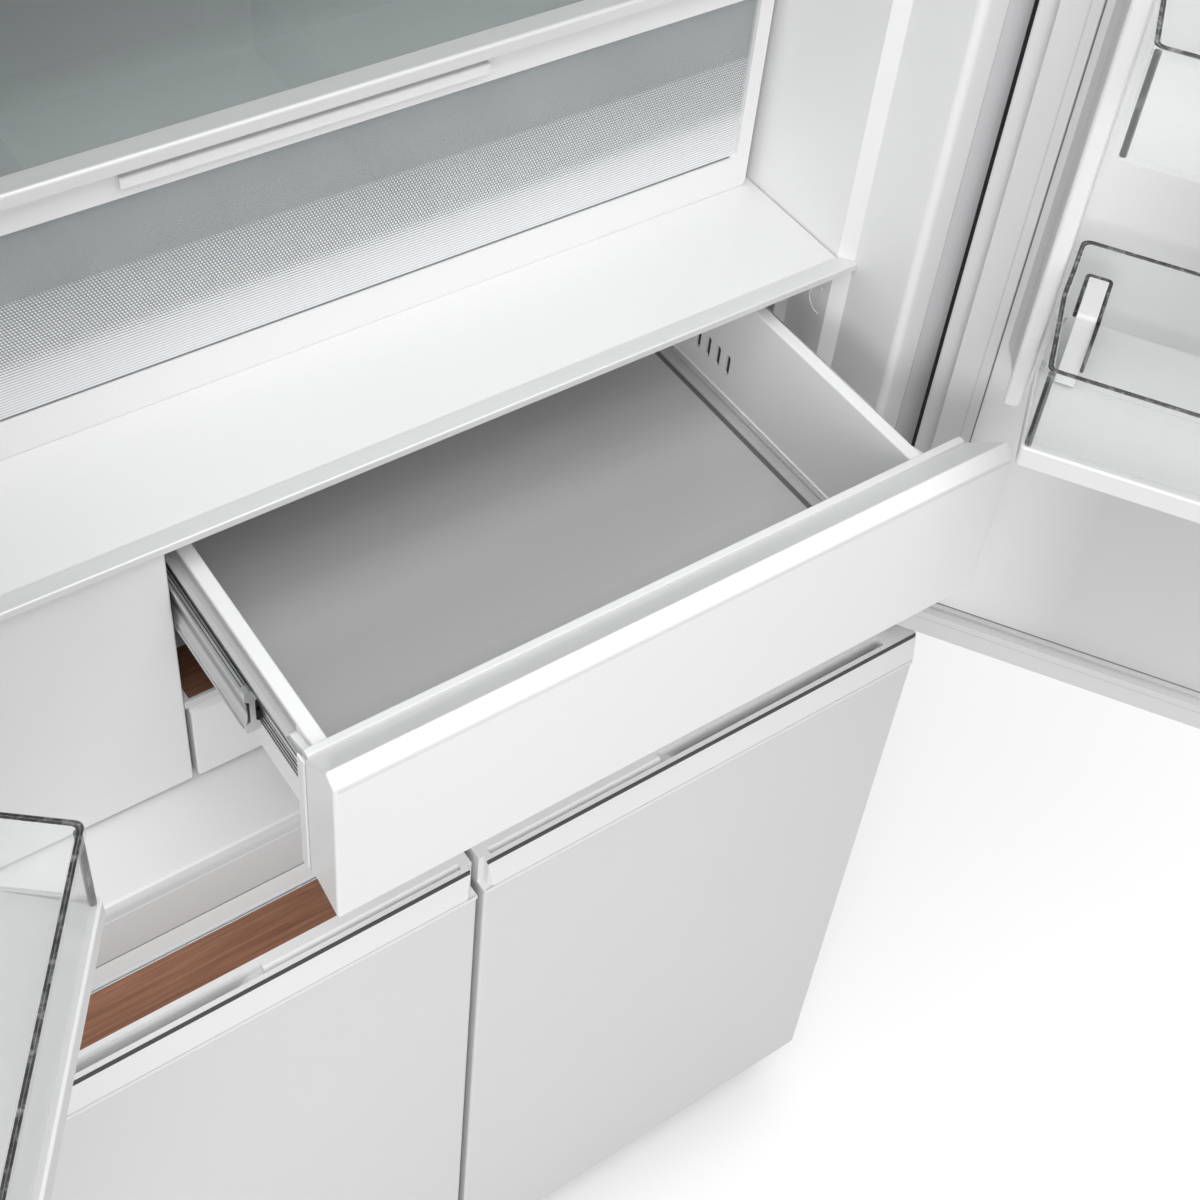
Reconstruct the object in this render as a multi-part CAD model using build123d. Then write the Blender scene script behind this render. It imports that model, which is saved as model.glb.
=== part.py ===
"""Multi-door refrigerator: two upper doors, two lower doors and the drawers between them.

Millimetres. X runs to the right, Y to the back and Z up. The origin lies on the floor, midway
between the sides, below the front face of the closed doors. Every piece is drawn with its door
or drawer closed, and the moving ones are then put where they stand at rest: both upper doors
open and the chilled drawer pulled out.
"""

import os

from build123d import *

os.makedirs("parts", exist_ok=True)

# Overall sizes; most others follow from these four
HALF_W = 415.0          # cabinet, half of its width
TOP_Z = 1795.0          # cabinet top
BACK_Y = 635.0          # rearmost face
SEAM_Z = 700.0          # seam between a lower door panel and its handle cap

TOTAL_Z = TOP_Z + 35.0  # top of the hinge covers
SHELL_BACK = BACK_Y - 10.0
SHELL_BOTTOM = 40.0
FLANGE_Y = 58.0         # front plane of the cabinet, which the gaskets meet
FLANGE_T = 3.7          # plates let into that plane
FLANGE_X = HALF_W - 28.6
FIT = 0.3               # seat between two pieces that are not fixed face to face
RUN = 0.05              # radial clearance of a pin in its bore

# Doors
DOOR_HALF = HALF_W - 1.0    # outer edge of the doors
GAP_HALF = 3.0              # half of the gap between two doors
DOOR_BACK = 44.0            # inner plane of a door
LOWER_BOTTOM = 60.0
LOWER_TOP = SEAM_Z + 34.4
UPPER_BOTTOM = SEAM_Z + 45.0
UPPER_TOP = TOP_Z - 2.0
PIN_X, PIN_Y, PIN_R = HALF_W - 13.3, 31.7, 5.0
OPEN_DEG = 124.0            # upper doors at rest
GASKET_X, GASKET_W = HALF_W - 14.0, 24.0
GASKET_BACK = FLANGE_Y - FIT

# Refrigerator compartment
WALL_FRONT = HALF_W - 50.0
WALL_REAR = WALL_FRONT - 8.0
STEP_Y0, STEP_Y1 = 114.3, 123.6
FLOOR_Z, CEILING_Z = SEAM_Z + 115.0, TOP_Z - 50.0
LINER_BACK = BACK_Y - 70.0
SHELF_BACK = LINER_BACK - 20.0
LINER_T = 2.7

# Freezer compartment, one on each side of a centre wall
FREEZER_X0, FREEZER_X1 = 25.0, HALF_W - 55.0
FREEZER_Z0, FREEZER_Z1 = 120.0, SEAM_Z - 10.0
FREEZER_BACK = BACK_Y - 75.0
BAY_TOP = 250.0             # machine bay behind and below the freezer
RUNNERS = (312.0, (312.0 + FREEZER_Z1) / 2 - 1.0)

# Drawers, plates and shelves behind the upper doors
DRAWER_Y = 120.0            # front plane of the closed drawers
COVER_BOTTOM, COVER_TOP = SEAM_Z + 353.0, SEAM_Z + 361.0
CRISPER_TOP = COVER_TOP + 179.0
SHELF_1 = CRISPER_TOP + 11.7
SHELF_STEP = (CEILING_Z - SHELF_1) / 3
SHELVES = [SHELF_1 + i * SHELF_STEP for i in range(3)]
DIVIDER_X0, DIVIDER_X1 = -163.0, -157.0
DELI_TOP = SEAM_Z + 200.0
TRAVEL = 194.3              # chilled drawer
MID_TRAVEL = 134.0          # middle members of its slides
SLIDE_GAP = 14.0            # room for one slide beside the box
BOX_X0, BOX_X1 = DIVIDER_X1 + SLIDE_GAP, WALL_REAR - 47.3
BOX_FRONT, BOX_BACK = 161.3, LINER_BACK - 17.0
CRISPER_Y = 222.0

# Bins and upright bars on the inside of the upper doors
BAR_Z0, BAR_Z1 = SEAM_Z + 350.0, CEILING_Z - 5.0
BAR_OUT = HALF_W - 43.0     # foot of the bar at the hinge side
BIN_X0, BIN_X1 = 73.3, HALF_W - 67.3
BIN_BACK, BIN_FRONT = 70.0, 203.0
BIN_Z = SEAM_Z + 396.5      # underside of the white base
BASE_H = 15.5
RIM_Z = SEAM_Z + 474.5      # rim of the low bin
BIN_3 = CEILING_Z - 215.0
BIN_2 = (RIM_Z + BIN_3) / 2 - 42.0
BIN_H = 70.0
HOLDER_X = BIN_X1 - 14.6    # outer side of the bottle holder

# Centre flap on the left door
FLAP_X, FLAP_Y, FLAP_PIN = -21.0, FLANGE_Y + 3.3, 2.5
FLAP_Z0, FLAP_Z1 = FLOOR_Z + 9.0, CEILING_Z - 15.0

# Base
FOOT_X = HALF_W - 43.0
ROLLER_R, ROLLER_Y, ROLLER_Z = 15.0, BACK_Y - 75.0, 15.0

parts = {}


def outline(*points):
    """Flat face through (u, v) points; a third number rounds that corner."""
    ring = list(points)
    area = sum(p[0] * q[1] - q[0] * p[1] for p, q in zip(ring, ring[1:] + ring[:1]))
    if area < 0:
        ring.reverse()
    face = Polygon(*[(p[0], p[1]) for p in ring], align=None)
    for p in ring:
        if len(p) == 3:
            corner = face.vertices().sort_by_distance(Vector(p[0], p[1], 0))[0]
            face = fillet(corner, p[2])
    return face


def rect(u0, u1, v0, v1, r=0):
    corners = [(u0, v0), (u1, v0), (u1, v1), (u0, v1)]
    return outline(*[c + (r,) for c in corners]) if r else outline(*corners)


def along_x(face, x0, x1):
    return extrude(Plane.YZ.offset(x0) * face, amount=x1 - x0)


def along_y(face, y0, y1):
    return extrude(Plane.XZ.offset(-y1) * face, amount=y1 - y0)


def along_z(face, z0, z1):
    return extrude(Plane.XY.offset(z0) * face, amount=z1 - z0)


def block(x0, x1, y0, y1, z0, z1):
    return along_z(rect(x0, x1, y0, y1), z0, z1)


def rod(x, y, r, z0, z1):
    return Pos(x, y, (z0 + z1) / 2) * Cylinder(r, z1 - z0)


def mirrored(shape, x=0.0):
    return mirror(shape, about=Plane.YZ.offset(x))


def both(shape, x=0.0):
    """A piece and its mirror image, as one part of two solids."""
    return [shape, mirrored(shape, x)]


def edges_near(shape, axis, *spots):
    """Edges along an axis whose middle lies nearest to each spot."""
    found = shape.edges().filter_by(axis)
    return [found.sort_by_distance(Vector(*spot))[0] for spot in spots]


def keep(name, *shapes):
    """Collects the solids of a part."""
    solids = []
    for shape in shapes:
        solids += shape if isinstance(shape, list) else [shape]
    parts[name] = solids


def front_ring(x0, x1, z0, z1, w, y0, y1, r=0.0):
    """A frame seen from the front, of bars w wide."""
    outer = along_y(rect(x0, x1, z0, z1, r), y0, y1)
    inner = along_y(rect(x0 + w, x1 - w, z0 + w, z1 - w, max(r - w, 0)), y0 - 1, y1 + 1)
    return outer - inner


# Cabinet

def fridge_void(grow):
    """Room of the upper compartment, with the step in its side walls."""
    half = [
        (WALL_FRONT + grow, FLANGE_Y - 1),
        (WALL_FRONT + grow, STEP_Y0),
        (WALL_REAR + grow, STEP_Y1 + grow * 0.4),
        (WALL_REAR + grow, LINER_BACK + grow, 18 + grow),
    ]
    other = [(-p[0],) + p[1:] for p in reversed(half)]
    return along_z(outline(*half, *other), FLOOR_Z - grow, CEILING_Z + grow)


def freezer_void(grow):
    """Room of one lower compartment, raised at the rear over the machine bay."""
    raised = BAY_TOP + 40 - grow
    side = outline(
        (FLANGE_Y - 1, FREEZER_Z0 - grow),
        (BACK_Y - 235 + grow * 0.3, FREEZER_Z0 - grow),
        (BACK_Y - 180 + grow * 0.5, raised),
        (FREEZER_BACK + grow, raised),
        (FREEZER_BACK + grow, FREEZER_Z1 + grow, 12),
        (FLANGE_Y - 1, FREEZER_Z1 + grow),
    )
    return along_x(side, FREEZER_X0 - grow, FREEZER_X1 + grow)


def make_cabinet():
    body = along_z(
        outline((-HALF_W, FLANGE_Y, 3), (HALF_W, FLANGE_Y, 3),
                (HALF_W, SHELL_BACK, 8), (-HALF_W, SHELL_BACK, 8)),
        SHELL_BOTTOM, TOP_Z)
    clear = LINER_T + FIT
    pocket_x = FLANGE_X + 0.4
    body -= block(-pocket_x, pocket_x, FLANGE_Y - 1, FLANGE_Y + FLANGE_T + FIT, 91.6, TOP_Z - 22.6)
    body -= fridge_void(clear)
    freezer = freezer_void(clear)
    body -= freezer
    body -= mirrored(freezer)
    bay = outline((BACK_Y - 190, 30), (SHELL_BACK + 1, 30), (SHELL_BACK + 1, BAY_TOP, 0.5),
                  (BACK_Y - 133, BAY_TOP, 12), (BACK_Y - 190, 122, 12))
    body -= along_x(bay, -HALF_W + 30, HALF_W - 30)
    for x in (-FOOT_X, FOOT_X):
        body -= rod(x, 100, 6.2, SHELL_BOTTOM - 1, SHELL_BOTTOM + 25)
    keep("cabinet_shell", body)

    back = along_y(rect(-HALF_W + 17, HALF_W - 17, 256, TOP_Z - 20, 10), SHELL_BACK, SHELL_BACK + 2)
    for i in range(6):
        z = 420 + i * (TOP_Z - 555) / 5
        back += along_y(rect(-HALF_W + 85, HALF_W - 85, z, z + 26, 12), SHELL_BACK + 1, BACK_Y - 4)
    for x in (-WALL_FRONT, WALL_FRONT):
        back += along_y(rect(x - 12, x + 12, 330, TOP_Z - 75, 11), SHELL_BACK + 1, BACK_Y)
    keep("back_panel", back)

    rail = along_y(rect(-FLANGE_X, FLANGE_X, SEAM_Z + 2, SEAM_Z + 58), FLANGE_Y, FLANGE_Y + FLANGE_T)
    rail = fillet(edges_near(rail, Axis.X, (0, FLANGE_Y, SEAM_Z + 58)), 0.8)
    keep("cross_rail", rail)


def make_fridge_liner():
    flange = block(-FLANGE_X, FLANGE_X, FLANGE_Y, FLANGE_Y + FLANGE_T, SEAM_Z + 58.3, TOP_Z - 23)
    skin = fridge_void(LINER_T) & block(-HALF_W, HALF_W, FLANGE_Y, BACK_Y, SEAM_Z, TOP_Z)
    liner = flange + skin - fridge_void(0)
    # ledges on both side walls; the one for the deli plate is on the right only
    deli_ledge = DELI_TOP - 6
    levels = [(140, LINER_BACK - 10, COVER_BOTTOM - 6, COVER_BOTTOM),
              (165, SHELF_BACK, deli_ledge - 6, deli_ledge)]
    levels += [(225, SHELF_BACK, z - 7.7, z) for z in SHELVES]
    for y0, y1, z0, z1 in levels:
        tongue = outline((WALL_REAR + 1, z0 - 4.2), (WALL_REAR + 1, z1), (WALL_REAR - 7, z1, 1),
                         (WALL_REAR - 7, z0, 1))
        ledge = along_y(tongue, y0, y1)
        liner += ledge
        if z1 != deli_ledge:
            liner += mirrored(ledge)
    mouth = [e for e in liner.edges() if abs(e.center().Y - FLANGE_Y) < 0.01
             and (abs(abs(e.center().X) - WALL_FRONT) < 0.01 or abs(e.center().Z - CEILING_Z) < 0.01
                  or abs(e.center().Z - FLOOR_Z) < 0.01)]
    liner = fillet(mouth, 6.0)
    # upright post behind the right end of the closed chilled drawer, and a raised arc before it
    post = along_z(outline((WALL_REAR + 1, 163), (WALL_REAR - 12, 163, 2), (WALL_REAR - 12, 187, 2),
                           (WALL_REAR + 1, 187)), DELI_TOP + FIT, COVER_BOTTOM - 2)
    arc = along_x(Pos(132, SEAM_Z + 314) * (Circle(12) - Circle(10.6)), WALL_REAR - 0.6, WALL_REAR + 1)
    arc = arc & block(WALL_REAR - 2, WALL_REAR + 2, 131, 150, SEAM_Z + 300, SEAM_Z + 328)
    keep("fridge_liner", liner + post + arc)


def make_freezer_liner():
    flange = block(-FLANGE_X, FLANGE_X, FLANGE_Y, FLANGE_Y + FLANGE_T, 92, SEAM_Z + 1.7)
    room = block(-HALF_W, HALF_W, FLANGE_Y, BACK_Y, 60, SEAM_Z + 20)
    outer, inner = freezer_void(LINER_T), freezer_void(0)
    liner = flange + (outer & room) + (mirrored(outer) & room)
    liner -= inner
    liner -= mirrored(inner)
    for z in RUNNERS:
        for x0, x1 in ((FREEZER_X0 - 1, FREEZER_X0 + 14), (FREEZER_X1 - 18, FREEZER_X1 + 1)):
            runner = block(x0, x1, 130, FREEZER_BACK - 20, z - 4, z)
            liner += runner
            liner += mirrored(runner)
    keep("freezer_liner", liner)


def make_interior():
    divider = block(DIVIDER_X0, DIVIDER_X1, 157, LINER_BACK, FLOOR_Z, COVER_BOTTOM)
    divider = fillet(edges_near(divider, Axis.Z, (DIVIDER_X0, 157, DELI_TOP), (DIVIDER_X1, 157, DELI_TOP)), 2)
    divider += along_y(outline((DIVIDER_X1 - 1, DELI_TOP - 18), (DIVIDER_X1 + 7, DELI_TOP - 12, 1),
                               (DIVIDER_X1 + 7, DELI_TOP - 6, 1), (DIVIDER_X1 - 1, DELI_TOP - 6)),
                       165, SHELF_BACK)
    x0 = BOX_X1 + SLIDE_GAP
    z0, z1 = SEAM_Z + 262, SEAM_Z + 322
    spacer = along_y(rect(x0, WALL_REAR, z0, z1, 4), 188, SHELF_BACK)
    spacer -= along_y(rect(x0 + 5, WALL_REAR - 5, z0 + 6, z1 - 6, 3), 160, SHELF_BACK - 10)
    keep("divider_panel", divider, spacer)

    keep("cover_plate", block(-WALL_REAR + 1, WALL_REAR - 1, 124.2, SHELF_BACK, COVER_BOTTOM, COVER_TOP))

    # satin trim: front lip, flat top and ends cut to the slant of the walls
    lip = COVER_TOP - 6
    section = outline((111, lip, 0.6), (111, COVER_TOP, 1.2), (124.2, COVER_TOP), (124.2, COVER_BOTTOM),
                      (121.5, COVER_BOTTOM), (121.5, lip))
    front, rear = WALL_FRONT - 0.4, WALL_REAR - 0.4
    plan = outline((-front, 100), (front, 100), (front, STEP_Y0 - 0.2), (rear, STEP_Y1 - 0.2), (rear, 130),
                   (-rear, 130), (-rear, STEP_Y1 - 0.2), (-front, STEP_Y0 - 0.2))
    trims = [along_x(section, -WALL_FRONT, WALL_FRONT) & along_z(plan, COVER_BOTTOM - 10, COVER_TOP + 10)]
    glass = []
    reach = WALL_REAR - 7
    for z in SHELVES:
        glass.append(along_z(rect(-WALL_REAR + 1.5, WALL_REAR - 1.5, 216, SHELF_BACK, 3), z + FIT, z + FIT + 5))
        bar = along_x(outline((208, z - 3, 1), (208, z + 7, 2.5), (224, z + 6.8, 0.7), (224, z + 5.6),
                              (216, z + 5.6), (216, z), (222, z), (222, z - 3)), -reach, reach)
        bar -= block(-reach - 1, reach + 1, 215.9, 230, z + FIT, z + FIT + 5)
        trims.append(bar)
    keep("cover_trim", trims)
    keep("shelf_glass", glass)

    left, right = DIVIDER_X1 + 0.5, WALL_REAR - 0.5
    under, bed = DELI_TOP - 6, DELI_TOP - 1.5
    deli = along_x(outline((DRAWER_Y, under), (DRAWER_Y, DELI_TOP, 0.8), (SHELF_BACK, DELI_TOP),
                           (SHELF_BACK, under)), left, right)
    deli -= block(left + 4, right - 4, DRAWER_Y + 2.5, DRAWER_Y + 44, bed, DELI_TOP + 1)
    keep("deli_plate", deli)
    keep("deli_wood_strip", block(left + 4.1, right - 4.1, DRAWER_Y + 2.6, DRAWER_Y + 43.9, bed, DELI_TOP))

    z0, z1 = COVER_TOP + 24, CEILING_Z - 30
    duct = along_z(outline((-92, LINER_BACK), (-84, LINER_BACK - 16, 6), (84, LINER_BACK - 16, 6),
                           (92, LINER_BACK)), z0, z1)
    for z in [COVER_TOP + 89] + [shelf + 70 for shelf in SHELVES]:
        for x in (-66, -40, 40, 66):
            duct -= along_y(rect(x - 9, x + 9, z, z + 26, 8.9), LINER_BACK - 25, LINER_BACK - 9)
    duct = fillet(edges_near(duct, Axis.X, (0, LINER_BACK - 16, z1), (0, LINER_BACK - 16, z0)), 4)
    keep("air_duct", duct)

    lamp = along_z(rect(-150, 150, 130, 196, 14), CEILING_Z - 7, CEILING_Z)
    lamp = fillet(edges_near(lamp, Axis.X, (0, 130, CEILING_Z - 7), (0, 196, CEILING_Z - 7)), 3)
    keep("lamp_cover", lamp)


# Base, machine bay and hinges

def make_base():
    rails = []
    # U-shaped rails with open ends below the cabinet; the foot stems and the roller axle pass through
    x0, x1, z0 = FOOT_X - 27, FOOT_X + 15, SHELL_BOTTOM - 18
    profile = outline((x0, z0), (x0, SHELL_BOTTOM), (x1, SHELL_BOTTOM), (x1, z0), (x1 - 3, z0),
                      (x1 - 3, SHELL_BOTTOM - 3), (x0 + 3, SHELL_BOTTOM - 3), (x0 + 3, z0))
    rail = along_y(profile, 70, BACK_Y - 205)
    rail -= rod(FOOT_X, 100, 6.2, 10, 60)
    rails += both(rail)
    carrier = block(FOOT_X - 26, FOOT_X + 13, ROLLER_Y - 17, ROLLER_Y + 17, 57, 60)
    for x in (FOOT_X - 26, FOOT_X + 2):
        carrier += along_x(outline((ROLLER_Y - 17, 28), (ROLLER_Y - 17, 60), (ROLLER_Y + 17, 60),
                                   (ROLLER_Y + 17, 28), (ROLLER_Y + 9, 8, 4), (ROLLER_Y - 9, 8, 4)), x, x + 3)
    carrier -= Pos(FOOT_X - 12, ROLLER_Y, ROLLER_Z) * Rot(0, 90, 0) * Cylinder(4 + RUN, 60)
    rails += both(carrier)
    keep("base_rails", rails)

    wheel = Pos(FOOT_X - 10.5, ROLLER_Y, ROLLER_Z) * Rot(0, 90, 0) * Cylinder(ROLLER_R, 20)
    wheel = fillet(wheel.edges().filter_by(GeomType.CIRCLE), 2)
    axle = Pos(0, ROLLER_Y, ROLLER_Z) * Rot(0, 90, 0) * Cylinder(4, 2 * (FOOT_X + 8))
    keep("rear_roller", wheel + axle + mirrored(wheel))

    foot = Pos(FOOT_X, 100, 0) * revolve(
        Plane.XZ * outline((0, 0), (21, 0, 1.5), (22, 6, 1.5), (13, 12, 1), (11, 15), (6, 15), (6, 58),
                           (0, 58)), Axis.Z)
    keep("levelling_feet", both(foot))

    grille = along_y(rect(-HALF_W + 11, HALF_W - 11, 12, 48, 3), 33, 36)
    for i in range(-11, 12):
        grille -= along_y(rect(i * 33 - 12, i * 33 + 12, 20, 25, 2.4), 30, 40)
        grille -= along_y(rect(i * 33 - 12, i * 33 + 12, 32, 37, 2.4), 30, 40)
    for x in (-330, 0, 330):
        grille += block(x - 12, x + 12, 35, FLANGE_Y, 41, 44)
    keep("plinth", grille)

    half = HALF_W - 32
    rear = along_y(rect(-half, half, 66, BAY_TOP - 2, 6), SHELL_BACK - 3, SHELL_BACK - 1)
    for row in range(5):
        for i in range(-7, 8):
            rear -= along_y(rect(i * 44 - 16, i * 44 + 16, 96 + row * 26, 102 + row * 26, 2.9),
                            SHELL_BACK - 25, SHELL_BACK + 5)
    rear += block(-half - 1.7, half + 1.7, SHELL_BACK - 14, SHELL_BACK - 3, BAY_TOP - 10, BAY_TOP - 7)
    keep("compressor_cover", rear)

    y = BACK_Y - 77
    pot = Pos(-170, y, 76) * revolve(
        Plane.XZ * outline((0, 0), (48, 0, 10), (52, 34, 6), (52, 80, 12), (30, 108, 10), (0, 110)), Axis.Z)
    tray = along_z(rect(-300, 300, BACK_Y - 135, BACK_Y - 25, 14), 62, 66)
    tray += along_z(rect(-HALF_W + 30, HALF_W - 30, BACK_Y - 127, BACK_Y - 99, 2), 58.3, 62)
    tray += rod(-170, y, 30, 65, 78)
    loop = Pos(60, y, 66) * along_z(rect(-55, 55, -30, 30, 20), 0, 60)
    loop -= Pos(60, y, 66) * along_z(rect(-47, 47, -22, 22, 14), 6, 70)
    keep("compressor", pot + tray + loop)


def hinge_plate(z0, t):
    out = HALF_W - 3
    plan = outline((out - 24, FLANGE_Y), (out, FLANGE_Y), (out, PIN_Y - 4, 5), (out - 4, 20, 5),
                   (out - 16, 20, 5), (out - 24, 34, 4))
    return along_z(plan, z0, z0 + t)


def make_hinges():
    out = HALF_W - 3
    z = SEAM_Z + 38
    mid = hinge_plate(z, 4)
    mid += block(out - 24, out, FLANGE_Y - 3, FLANGE_Y, z - 14, z + 18)
    mid += rod(PIN_X, PIN_Y, PIN_R, z - 16, z + 22)
    mid += rod(PIN_X, PIN_Y, 8, z + 3, UPPER_BOTTOM - FIT)
    keep("hinges_mid", both(mid))

    z = LOWER_BOTTOM - 10
    low = hinge_plate(z, 4)
    low += block(out - 24, out, FLANGE_Y - 3, FLANGE_Y, z - 6, z + 22)
    low += rod(PIN_X, PIN_Y, PIN_R, z + 2, z + 26)
    low += rod(PIN_X, PIN_Y, 8, z + 3, LOWER_BOTTOM - FIT)
    keep("hinges_bottom", both(low))

    plan = outline((out - 67, 66, 4), (out - 67, 118, 4), (out - 4, 118, 4), (out, 60), (out, PIN_Y - 4, 5),
                   (out - 4, 20, 5), (out - 16, 20, 5), (out - 24, 34, 4), (out - 32, 62, 6))
    top = along_z(plan, TOP_Z, TOP_Z + 4) + rod(PIN_X, PIN_Y, PIN_R, UPPER_TOP - 18, TOP_Z + 2)
    for x, y in ((out - 52, 80), (out - 52, 105), (out - 20, 105)):
        top += rod(x, y, 5, TOP_Z + 3, TOP_Z + 8)
    keep("hinges_top", both(top))

    z0, z1, edge = TOP_Z + FIT, TOTAL_Z, HALF_W - 1
    shape = outline((edge - 74, 60, 8), (edge - 74, 124, 10), (edge, 124, 6), (edge, 14, 6), (edge - 22, 14, 8),
                    (edge - 38, 52, 8))
    cover = along_z(shape, z0, z1)
    cover = fillet(cover.faces().sort_by(Axis.Z)[-1].edges(), 3)
    room = outline((edge - 71, 63), (edge - 71, 121), (edge - 1.6, 121), (edge - 1.6, 17), (edge - 21, 17),
                   (edge - 35.5, 54))
    keep("hinge_covers", both(cover - along_z(room, z0 - 1, z1 - 3)))


# Upper doors, drawn closed on the right side

def swing(shapes, side, degrees):
    """Turns closed pieces of the right (1) or left (-1) door open about its pin."""
    place = Pos(side * PIN_X, PIN_Y, 0) * Rot(0, 0, side * degrees) * Pos(-side * PIN_X, -PIN_Y, 0)
    return [place * shape for shape in shapes]


def door_plan():
    return outline((GAP_HALF, 0, 2.5), (DOOR_HALF, 0, 2.5), (DOOR_HALF, DOOR_BACK, 2), (GAP_HALF, DOOR_BACK, 2))


def upper_panel():
    panel = along_z(door_plan(), UPPER_BOTTOM, UPPER_TOP)
    # bed of the inner liner, grip hollow under the free end, and the pin bores
    panel -= block(25, DOOR_HALF - 31, 38, DOOR_BACK + 1, UPPER_BOTTOM + 35, UPPER_TOP - 40)
    panel -= along_x(outline((8, UPPER_BOTTOM - 1), (8, UPPER_BOTTOM + 22, 5), (24, UPPER_BOTTOM + 22, 5),
                             (34, UPPER_BOTTOM - 1)), 12, 190)
    panel -= rod(PIN_X, PIN_Y, PIN_R + RUN, UPPER_BOTTOM - 1, UPPER_BOTTOM + 17)
    panel -= rod(PIN_X, PIN_Y, PIN_R + RUN, UPPER_TOP - 20, UPPER_TOP + 1)
    # closer block under the hinge end
    panel += along_z(rect(DOOR_HALF - 94, DOOR_HALF - 51, 12, 40, 3), UPPER_BOTTOM - 2.6, UPPER_BOTTOM + 1)
    return panel


def upper_liner():
    plate = block(25.3, DOOR_HALF - 31.3, 38.3, DOOR_BACK, UPPER_BOTTOM + 35.3, UPPER_TOP - 40.3)
    out = BAR_OUT
    hinge_bar = outline((out, 43), (out - 5.5, 52, 4), (out - 9.5, 68, 6), (out - 10, 99, 3),
                        (out - 21.5, 99, 3), (out - 22.2, 43))
    free_bar = outline((44, 43), (50, 68, 6), (51, 99, 3), (71, 99, 3), (72.7, 43))
    # both bars run out in a rounded end
    for plan, x0, x1 in ((hinge_bar, out - 23, out), (free_bar, 43, 73)):
        plate += along_z(plan, BAR_Z0, BAR_Z1) & along_y(rect(x0, x1, BAR_Z0, BAR_Z1 + 20, 8), 40, 110)
    plate += along_x(outline((43, BAR_Z1 - 18), (99, BAR_Z1 - 13, 4), (99, BAR_Z1 - 3, 4), (43, BAR_Z1 + 5)),
                     46, out - 11)
    return plate


def gasket(z0, z1):
    """Seal ring with a groove on each side between its foot and its lip."""
    x0, x1 = 6.0, GASKET_X
    ring = front_ring(x0, x1, z0, z1, GASKET_W, DOOR_BACK, GASKET_BACK, 4)
    ring -= front_ring(x0 - 2, x1 + 2, z0 - 2, z1 + 2, 4, 48, 52, 4)
    inset = GASKET_W - 2
    ring -= front_ring(x0 + inset, x1 - inset, z0 + inset, z1 - inset, 4, 48, 52, 2)
    return ring


def bin_plan(inset=0.0, r=3.0):
    """Bin seen from above; its ends lean outwards from the front corners to the bars."""
    x0, x1 = BIN_X0 + inset, BIN_X1 - inset
    y0, y1 = BIN_BACK + inset, BIN_FRONT - inset
    return outline((x0 + 6.2, y1, r), (x0, 130), (x0 + 0.6, 105), (x0 + 0.6, y0, 6),
                   (x1 - 0.6, y0, 6), (x1 - 0.6, 105), (x1, 130), (x1 - 6.2, y1, r))


def bin_base(z0, z1):
    base = along_z(bin_plan(), z0, z1)
    upper = base.faces().sort_by(Axis.Z)[-1].edges().sort_by(Axis.Y)[-1]
    lower = base.faces().sort_by(Axis.Z)[0].edges().sort_by(Axis.Y)[-1]
    return fillet([upper, lower], 1.2)


def bin_body(z0, z1, depth=BIN_FRONT):
    """Clear wall and floor with a thicker rim; the upper bins are not as deep as the low one."""
    cut = block(BIN_X0 - 5, BIN_X1 + 5, BIN_BACK - 5, depth, z0 - 5, z1 + 5)
    wall = along_z(bin_plan(1.8, 4), z0, z1) + along_z(bin_plan(0.6, 4), z1 - 4.8, z1)
    hollow = along_z(bin_plan(4.3, 3), z0 + 2.5, z1 + 1)
    if depth < BIN_FRONT:
        wall = wall & cut
        hollow = hollow & (Pos(0, -2.5, 0) * cut)
    body = wall - hollow
    # hooks that reach the upright bars of the door
    for x0, x1 in ((BIN_X0 - 1.4, BIN_X0 + 3), (BIN_X1 - 4, BIN_X1 + 2.1)):
        body += block(x0, x1, 74, 88, z1 - 26, z1 - 8)
    return body


def bottle_holder():
    """White block with a sloped top near the end of the low bin, and the clear clip around it."""
    x0, x1 = HOLDER_X - 15, HOLDER_X
    floor, y0, y1 = BIN_Z + BASE_H + 2.5 + FIT, BIN_BACK + 24, BIN_FRONT - 6
    top = RIM_Z - 4
    side = outline((y0, floor + 30, 2), (y0, top, 2), (y0 + 42, top, 5), (y0 + 50, top - 14, 9),
                   (y1, floor + 12, 2), (y1, floor), (y0 + 30, floor))
    inside = outline((y0 + 2.5, floor + 32), (y0 + 2.5, top - 2.5), (y0 + 40, top - 2.5),
                     (y0 + 47, top - 16), (y1 - 3, floor + 11), (y1 - 3, floor - 1), (y0 + 32, floor - 1))
    body = along_x(side, x0, x1) - along_x(inside, x0 + 2.2, x1 - 2.2)
    body = fillet(edges_near(body, Axis.Y, (x0, y0 + 20, top), (x1, y0 + 20, top)), 1)
    z0, z1 = top - 12, top - 3
    clip = rect(x0 - 3.3, x1 + 3.3, y0 - 3.3, y1 + 1, 2) - rect(x0 - FIT, x1 + FIT, y0 - FIT, y1 + 5)
    return body, along_z(clip, z0, z1)


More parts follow.
